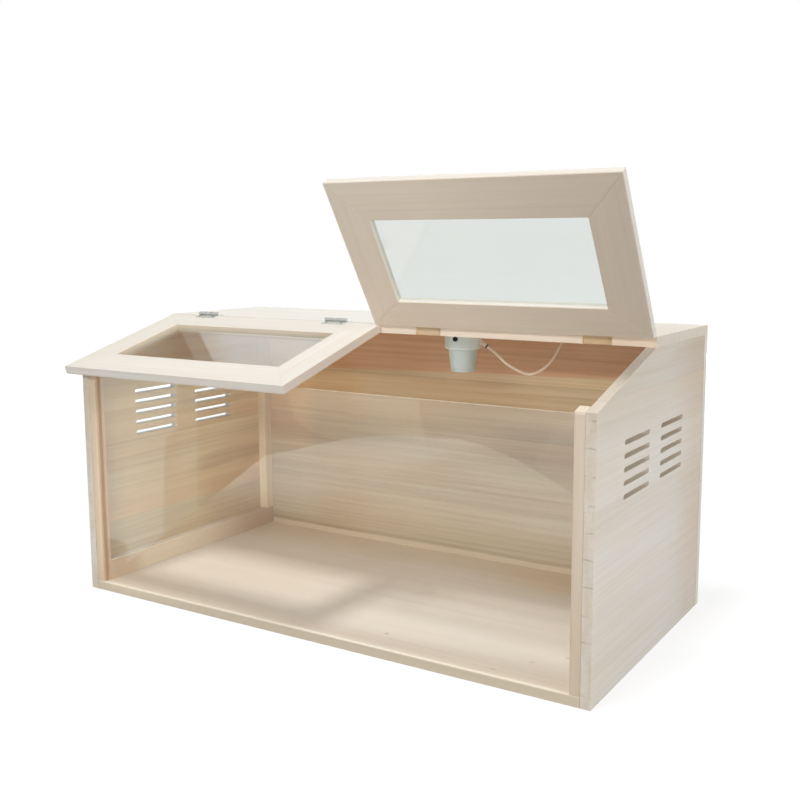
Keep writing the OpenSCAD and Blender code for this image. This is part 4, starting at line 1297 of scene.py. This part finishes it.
class BROODER_OT_holder(bpy.types.Operator):
    """Makes the bulb holder: canopy, cup, threaded shell, contact, gland and wall grommet"""

    bl_idname = "brooder.holder"
    bl_label = "Bulb holder"

    def execute(self, context):
        axis = Vector((LAMP_X, LAMP_Y, 0.0)) * MM
        canopy = rounded(
            (3.0, 360.0, 0), (26.6, 360.0, 2.6), (26.95, 384.6, 0.4), (26.3, 385.0, 0.2), (26.3, 386.95, 0),
            (24.0, 386.95, 0), (24.0, 363.0, 0), (3.0, 363.0, 0),
        )
        self.turned("holder_canopy", canopy, axis, "moulded_canopy", "lamp_canopy", "holder_plastic")
        cup = rounded(
            (3.0, 360.0, 0), (3.0, 355.0, 0), (13.95, 355.0, 0), (13.95, 327.0, 1.0), (18.0, 327.0, 1.2),
            (18.3, 330.4, 0.4), (18.0, 331.0, 0.4), (21.2, 357.6, 0.4), (21.6, 358.2, 0.3), (21.6, 360.0, 0),
        )
        self.turned("holder_cup", cup, axis, "moulded_holder", "lamp_cup", "holder_plastic")
        self.shell(axis)
        contact = rounded(
            (0.001, 355.0, 0), (4.5, 355.0, 0), (4.5, 354.2, 0.3), (2.2, 353.0, 0.6), (0.001, 353.0, 0),
        )
        self.turned("holder_contact", contact, axis, "drawn_brass", "lamp_contact", "contact_brass")
        dress("lamp_strap", finish("plated_steel"))
        self.gland()
        rim = (Vector(HOLE) + 6.5 * Y) * MM
        grommet = rounded(
            (2.5, -8.0, 0.6), (7.0, -8.0, 0.7), (7.0, -6.5, 0.3), (4.5, -6.5, 0.2),
            (4.5, 6.5, 0.2), (7.0, 6.5, 0.3), (7.0, 8.0, 0.7), (2.5, 8.0, 0.6),
        )
        self.turned("wall_grommet_turned", grommet, rim, "soft_rubber", "wall_grommet", "dark_rubber", Y)
        return {"FINISHED"}

    def turned(self, name, profile, origin, material, node, slot, axis=Z):
        bm = bmesh.new()
        lathe(bm, profile, origin, axis=axis)
        place(smooth(from_bmesh(weld(bm), name, finish(material))), slot, node)

    def shell(self, axis):
        """Thin shell rolled with the bulb's thread"""
        pitch, rows = sizes().thread_pitch, 110
        low, high = 0.330, 0.352
        radius, swell = 0.01345, 0.00032
        rings = []
        for j in range(rows + 1):
            z = low + (high - low) * j / rows
            fade = min(1.0, min(z - low, high - z) / 0.002)
            ring = []
            for a in circle(72):
                r = radius + swell * fade * math.sin(2 * math.pi * z / pitch - a)
                ring.append(axis + Vector((r * math.cos(a), r * math.sin(a), z)))
            rings.append(ring)
        bm = bmesh.new()
        grid(bm, rings, caps=False)
        obj = smooth(from_bmesh(weld(bm), "holder_thread", finish("drawn_brass")), 60)
        wall = obj.modifiers.new("wall", "SOLIDIFY")
        wall.thickness, wall.offset = 0.3 * MM, 0.0
        place(obj, "contact_brass", "lamp_screw_shell")

    def gland(self):
        """Sleeve where the cord leaves the canopy, with a dark rubber ring at its mouth"""
        root, way = gland_root()
        root, mouth = root * MM, 8.9 * MM
        shape = [
            (2.05, -3.0), (4.0, -3.0), (4.0, 2.4), (3.7, 2.75), (3.2, 3.0), (3.0, 8.8),
            (3.1, 9.0), (3.15, 9.3), (3.15, 10.3), (2.9, 10.8), (2.5, 11.0), (2.05, 11.0),
        ]
        bm = bmesh.new()
        lathe(bm, shape, root, 48, way, way.cross(Z).normalized())
        weld(bm)
        for face in bm.faces:
            face.material_index = 1 if (face.calc_center_median() - root).dot(way) < mouth else 0
        obj = from_bmesh(bm, "gland_sleeve", finish("soft_rubber"), finish("cord_sleeve"))
        place(smooth(obj, 30), "dark_rubber", "cord_gland")


class BROODER_OT_stage(bpy.types.Operator):
    """Sets the white floor, the cards that the clear sheets mirror, the surround and the lights"""

    bl_idname = "brooder.stage"
    bl_label = "Stage"

    def execute(self, context):
        scene, s = context.scene, context.scene.brooder_stage
        scene.view_settings.view_transform = "Standard"
        self.floor()
        self.cards()
        self.surround(scene, s.fill)
        self.lamp("overhead_key", s.key, (0.80, 1.05), s.key_at, (0.0, 0.0, 0.0))
        self.lamp("front_strip", s.front, (3.0, 0.16), s.front_at, (0.0, 0.0, 0.15))
        self.lamp("side_soft", s.side, (2.0, 1.0), (3.3, -1.1, 0.40), (0.4, -0.05, 0.12))
        self.lamp("rear_soft", s.rear, (3.0, 0.5), (-1.6, 3.0, 0.30), (0.0, 0.1, 0.20))
        self.lamp("inner_fill", s.inner, (0.74, 0.24), (0.0, -0.185, 0.150), (-0.05, 0.2, 0.110), 120)
        return {"FINISHED"}

    def lamp(self, name, power, size, at, target, spread=180):
        """Soft rectangular light that no mirror or camera sees"""
        data = bpy.data.lights.new(name, "AREA")
        data.shape, data.size, data.size_y, data.energy = "RECTANGLE", *size, power
        data.spread = math.radians(spread)
        obj = new_object(name, data)
        obj.rotation_mode = "QUATERNION"
        obj.rotation_quaternion = (Vector(target) - Vector(at)).to_track_quat("-Z", "Y")
        obj.location = at
        obj.visible_camera = obj.visible_glossy = obj.visible_transmission = False

    def floor(self):
        """Floor that is white to the camera, dim to a mirror and grey to the light"""
        bm = bmesh.new()
        bmesh.ops.create_grid(bm, x_segments=1, y_segments=1, size=14.0)
        m, out, at = blank("white_floor")
        t = out.tree
        shade = grey(ramp(noise(at, 3.0, 3.0), 0.0, 1.0, 0.985, 1.0))
        plain = Node(t, "ShaderNodeBsdfDiffuse", {"Color": tinted(shade, 1.0, (0.34, 0.34, 0.34))})[0]
        faint = Node(t, "ShaderNodeBsdfDiffuse", {"Color": (0.25, 0.25, 0.25, 1.0)})[0]
        white = glow(t, shade, soft(at.vector("LENGTH", out="Value"), 0.7, 2.5, 0.80, 0.93))
        dim = glow(t, tinted(shade, 1.0, (0.72, 0.87, 1.0)), 0.76)
        shown = Node(t, "ShaderNodeAddShader", {0: faint, 1: white})[0]
        out.feed("Surface", by_ray(t, plain, shown, dim))
        from_bmesh(bm, "stage_floor", m)

    def cards(self):
        """Bright cards on the floor in front, which only the clear sheets mirror"""
        lens = [
            (-0.797, -1.055), (-0.779, -1.128), (-0.771, -1.197), (-0.766, -1.253), (-0.745, -1.335),
            (-0.705, -1.415), (-0.601, -1.451), (-0.493, -1.474), (-0.413, -1.437), (-0.323, -1.374),
            (-0.235, -1.306), (-0.144, -1.220),
        ]
        table = lens + [(-0.014, -1.089), (0.60, -0.60), (0.60, -0.21), (-0.40, -0.21)]
        lobe = [
            (-1.463, -1.958), (-1.337, -1.810), (-1.208, -1.660), (-1.089, -1.528), (-1.000, -1.443),
            (-0.906, -1.371), (-0.821, -1.322), (-0.754, -1.305), (-0.571, -1.432), (-0.679, -1.587),
            (-0.813, -1.787), (-1.10, -2.25), (-1.70, -2.25),
        ]
        far = [
            (-0.806, -1.050), (-0.948, -1.216), (-1.150, -1.453), (-1.403, -1.750), (-1.640, -2.028),
            (-1.640, -2.60), (0.60, -2.60), (0.60, -0.60),
        ]
        strip = [
            (-1.907, -1.874), (-1.647, -1.609), (-1.365, -1.327), (-1.206, -1.164), (-1.185, -1.110),
            (-0.983, -0.906), (-0.700, -0.628), (-0.494, -0.425), (-0.357, -0.285), (-0.400, -0.258),
            (-0.527, -0.370), (-0.577, -0.375), (-2.600, -1.000), (-2.800, -2.300),
        ]
        strip_edge = [
            (-1.850, -1.759), (-1.393, -1.311), (-1.069, -0.994), (-0.698, -0.629), (-0.494, -0.425),
            (-0.433, -0.393), (-0.390, -0.470), (-0.490, -0.580), (-0.587, -0.605), (-0.767, -0.792),
            (-1.000, -1.034), (-1.312, -1.359), (-1.752, -1.816),
        ]
        side = [
            (-0.417, -2.067), (-0.386, -1.891), (-0.344, -1.740), (-0.301, -1.607), (-0.255, -1.490),
            (-0.226, -1.375), (-0.191, -1.290), (-0.151, -1.242), (-0.114, -1.223), (-0.060, -1.215),
            (0.30, -1.215), (0.30, -2.20), (-0.43, -2.20),
        ]
        self.card("card_table", table, 0.003, 2.12, (0.86, 0.975, 1.0), fade=True)
        self.card("card_lobe", lobe, 0.002, 1.43, (0.91, 1.0, 0.97))
        self.card("card_far", far, 0.001, 1.10, (0.73, 0.89, 1.0))
        self.card("card_band", strip, 0.002, 1.85, (0.70, 0.91, 1.0))
        self.card("card_band_edge", strip_edge, 0.001, 1.18, (0.70, 0.89, 1.0))
        self.card("card_side", side, 0.002, 1.30, (0.80, 0.88, 1.0))

    def card(self, name, rim, lift, strength, tint, fade=False):
        """Glowing sheet with a rim of X and Y; a fading one is dimmer near the box and on its right"""
        bm = bmesh.new()
        bm.faces.new([bm.verts.new((x, y, lift)) for x, y in rim])
        m, out, at = blank(name)
        level = ramp(noise(at, 2.0), 0.0, 1.0, 0.95, 1.05)
        if fade:
            x, y, _ = parts(at)
            level = level * soft(y, -0.62, -0.86, 0.42, 1.0) * soft(x, -0.50, -0.36, 1.0, 0.80)
        out.feed("Surface", glow(out.tree, rgba(tint), level * strength))
        obj = from_bmesh(bm, name, m)
        obj.visible_camera = obj.visible_diffuse = obj.visible_transmission = obj.visible_shadow = False

    def surround(self, scene, strength):
        """White surround; a mirror sees a darker room, with soft strips by the angle from the back"""
        world = bpy.data.worlds.new("white_surround")
        scene.world = world
        world.use_nodes = True
        t = world.node_tree
        t.nodes.clear()
        x, y, _ = parts(Node(t, "ShaderNodeTexCoord")["Generated"])
        turn = x.calc("ARCTAN2", y)
        start, span, most = -54.0, 10.0, 2.0
        stops = [
            (-54.00, (0.50, 0.40, 0.36)), (-52.60, (0.34, 0.25, 0.23)), (-51.85, (0.31, 0.22, 0.20)),
            (-51.73, (0.54, 0.46, 0.44)), (-50.92, (0.50, 0.42, 0.40)), (-50.78, (0.98, 0.94, 0.92)),
            (-50.30, (1.10, 1.08, 1.06)), (-49.40, (1.24, 1.33, 1.40)), (-48.30, (1.38, 1.42, 1.45)),
            (-47.00, (1.45, 1.60, 1.60)), (-45.50, (1.50, 1.68, 1.72)),
        ]
        across = ramp(turn, math.radians(start), math.radians(start + span))
        tones = Node(t, "ShaderNodeValToRGB", {0: across})
        points = tones.made.color_ramp.elements
        while len(points) < len(stops):
            points.new(1.0)
        for point, (degrees, tint) in zip(points, stops):
            point.position, point.color = (degrees - start) / span, rgba([v / most for v in tint])
        behind = soft(turn, math.radians(-100), math.radians(-95))
        room = mix(behind, (0.38, 0.38, 0.38, 1.0), tones[0])
        white = (1.0, 1.0, 1.0, 1.0)
        lit, shown, mirrored = (
            Node(t, "ShaderNodeBackground", {"Color": color, "Strength": power})[0]
            for color, power in ((white, strength), (white, 1.0), (room, most))
        )
        Node(t, "ShaderNodeOutputWorld", {"Surface": by_ray(t, lit, shown, mirrored)})


STEPS = (
    BROODER_OT_camera, BROODER_OT_cord, BROODER_OT_boards, BROODER_OT_battens, BROODER_OT_lids,
    BROODER_OT_sheets, BROODER_OT_hinges, BROODER_OT_screws, BROODER_OT_holder, BROODER_OT_stage,
)


class BROODER_PT_panel(bpy.types.Panel):
    """Sidebar panel with the steps, sizes, colours and stage"""

    bl_idname = "BROODER_PT_panel"
    bl_label = "Chick brooder box"
    bl_space_type = "VIEW_3D"
    bl_region_type = "UI"
    bl_category = "Brooder"

    def draw(self, context):
        for step in STEPS:
            self.layout.operator(step.bl_idname)
        for held in (context.scene.brooder_sizes, context.scene.brooder_colours, context.scene.brooder_stage):
            box = self.layout.box()
            for name in held.__annotations__:
                box.prop(held, name)


CLASSES = (BrooderSizes, BrooderColours, BrooderStage, *STEPS, BROODER_PT_panel)


def register():
    for c in CLASSES:
        bpy.utils.register_class(c)
    bpy.types.Scene.brooder_sizes = PointerProperty(type=BrooderSizes)
    bpy.types.Scene.brooder_colours = PointerProperty(type=BrooderColours)
    bpy.types.Scene.brooder_stage = PointerProperty(type=BrooderStage)


def unregister():
    del bpy.types.Scene.brooder_stage
    del bpy.types.Scene.brooder_colours
    del bpy.types.Scene.brooder_sizes
    for c in reversed(CLASSES):
        bpy.utils.unregister_class(c)


def main():
    register()
    bpy.ops.brooder.camera()
    bpy.ops.brooder.cord()
    bpy.ops.brooder.boards()
    bpy.ops.brooder.battens()
    bpy.ops.brooder.lids()
    bpy.ops.brooder.sheets()
    bpy.ops.brooder.hinges()
    bpy.ops.brooder.screws()
    bpy.ops.brooder.holder()
    bpy.ops.brooder.stage()


if __name__ == "__main__":
    main()
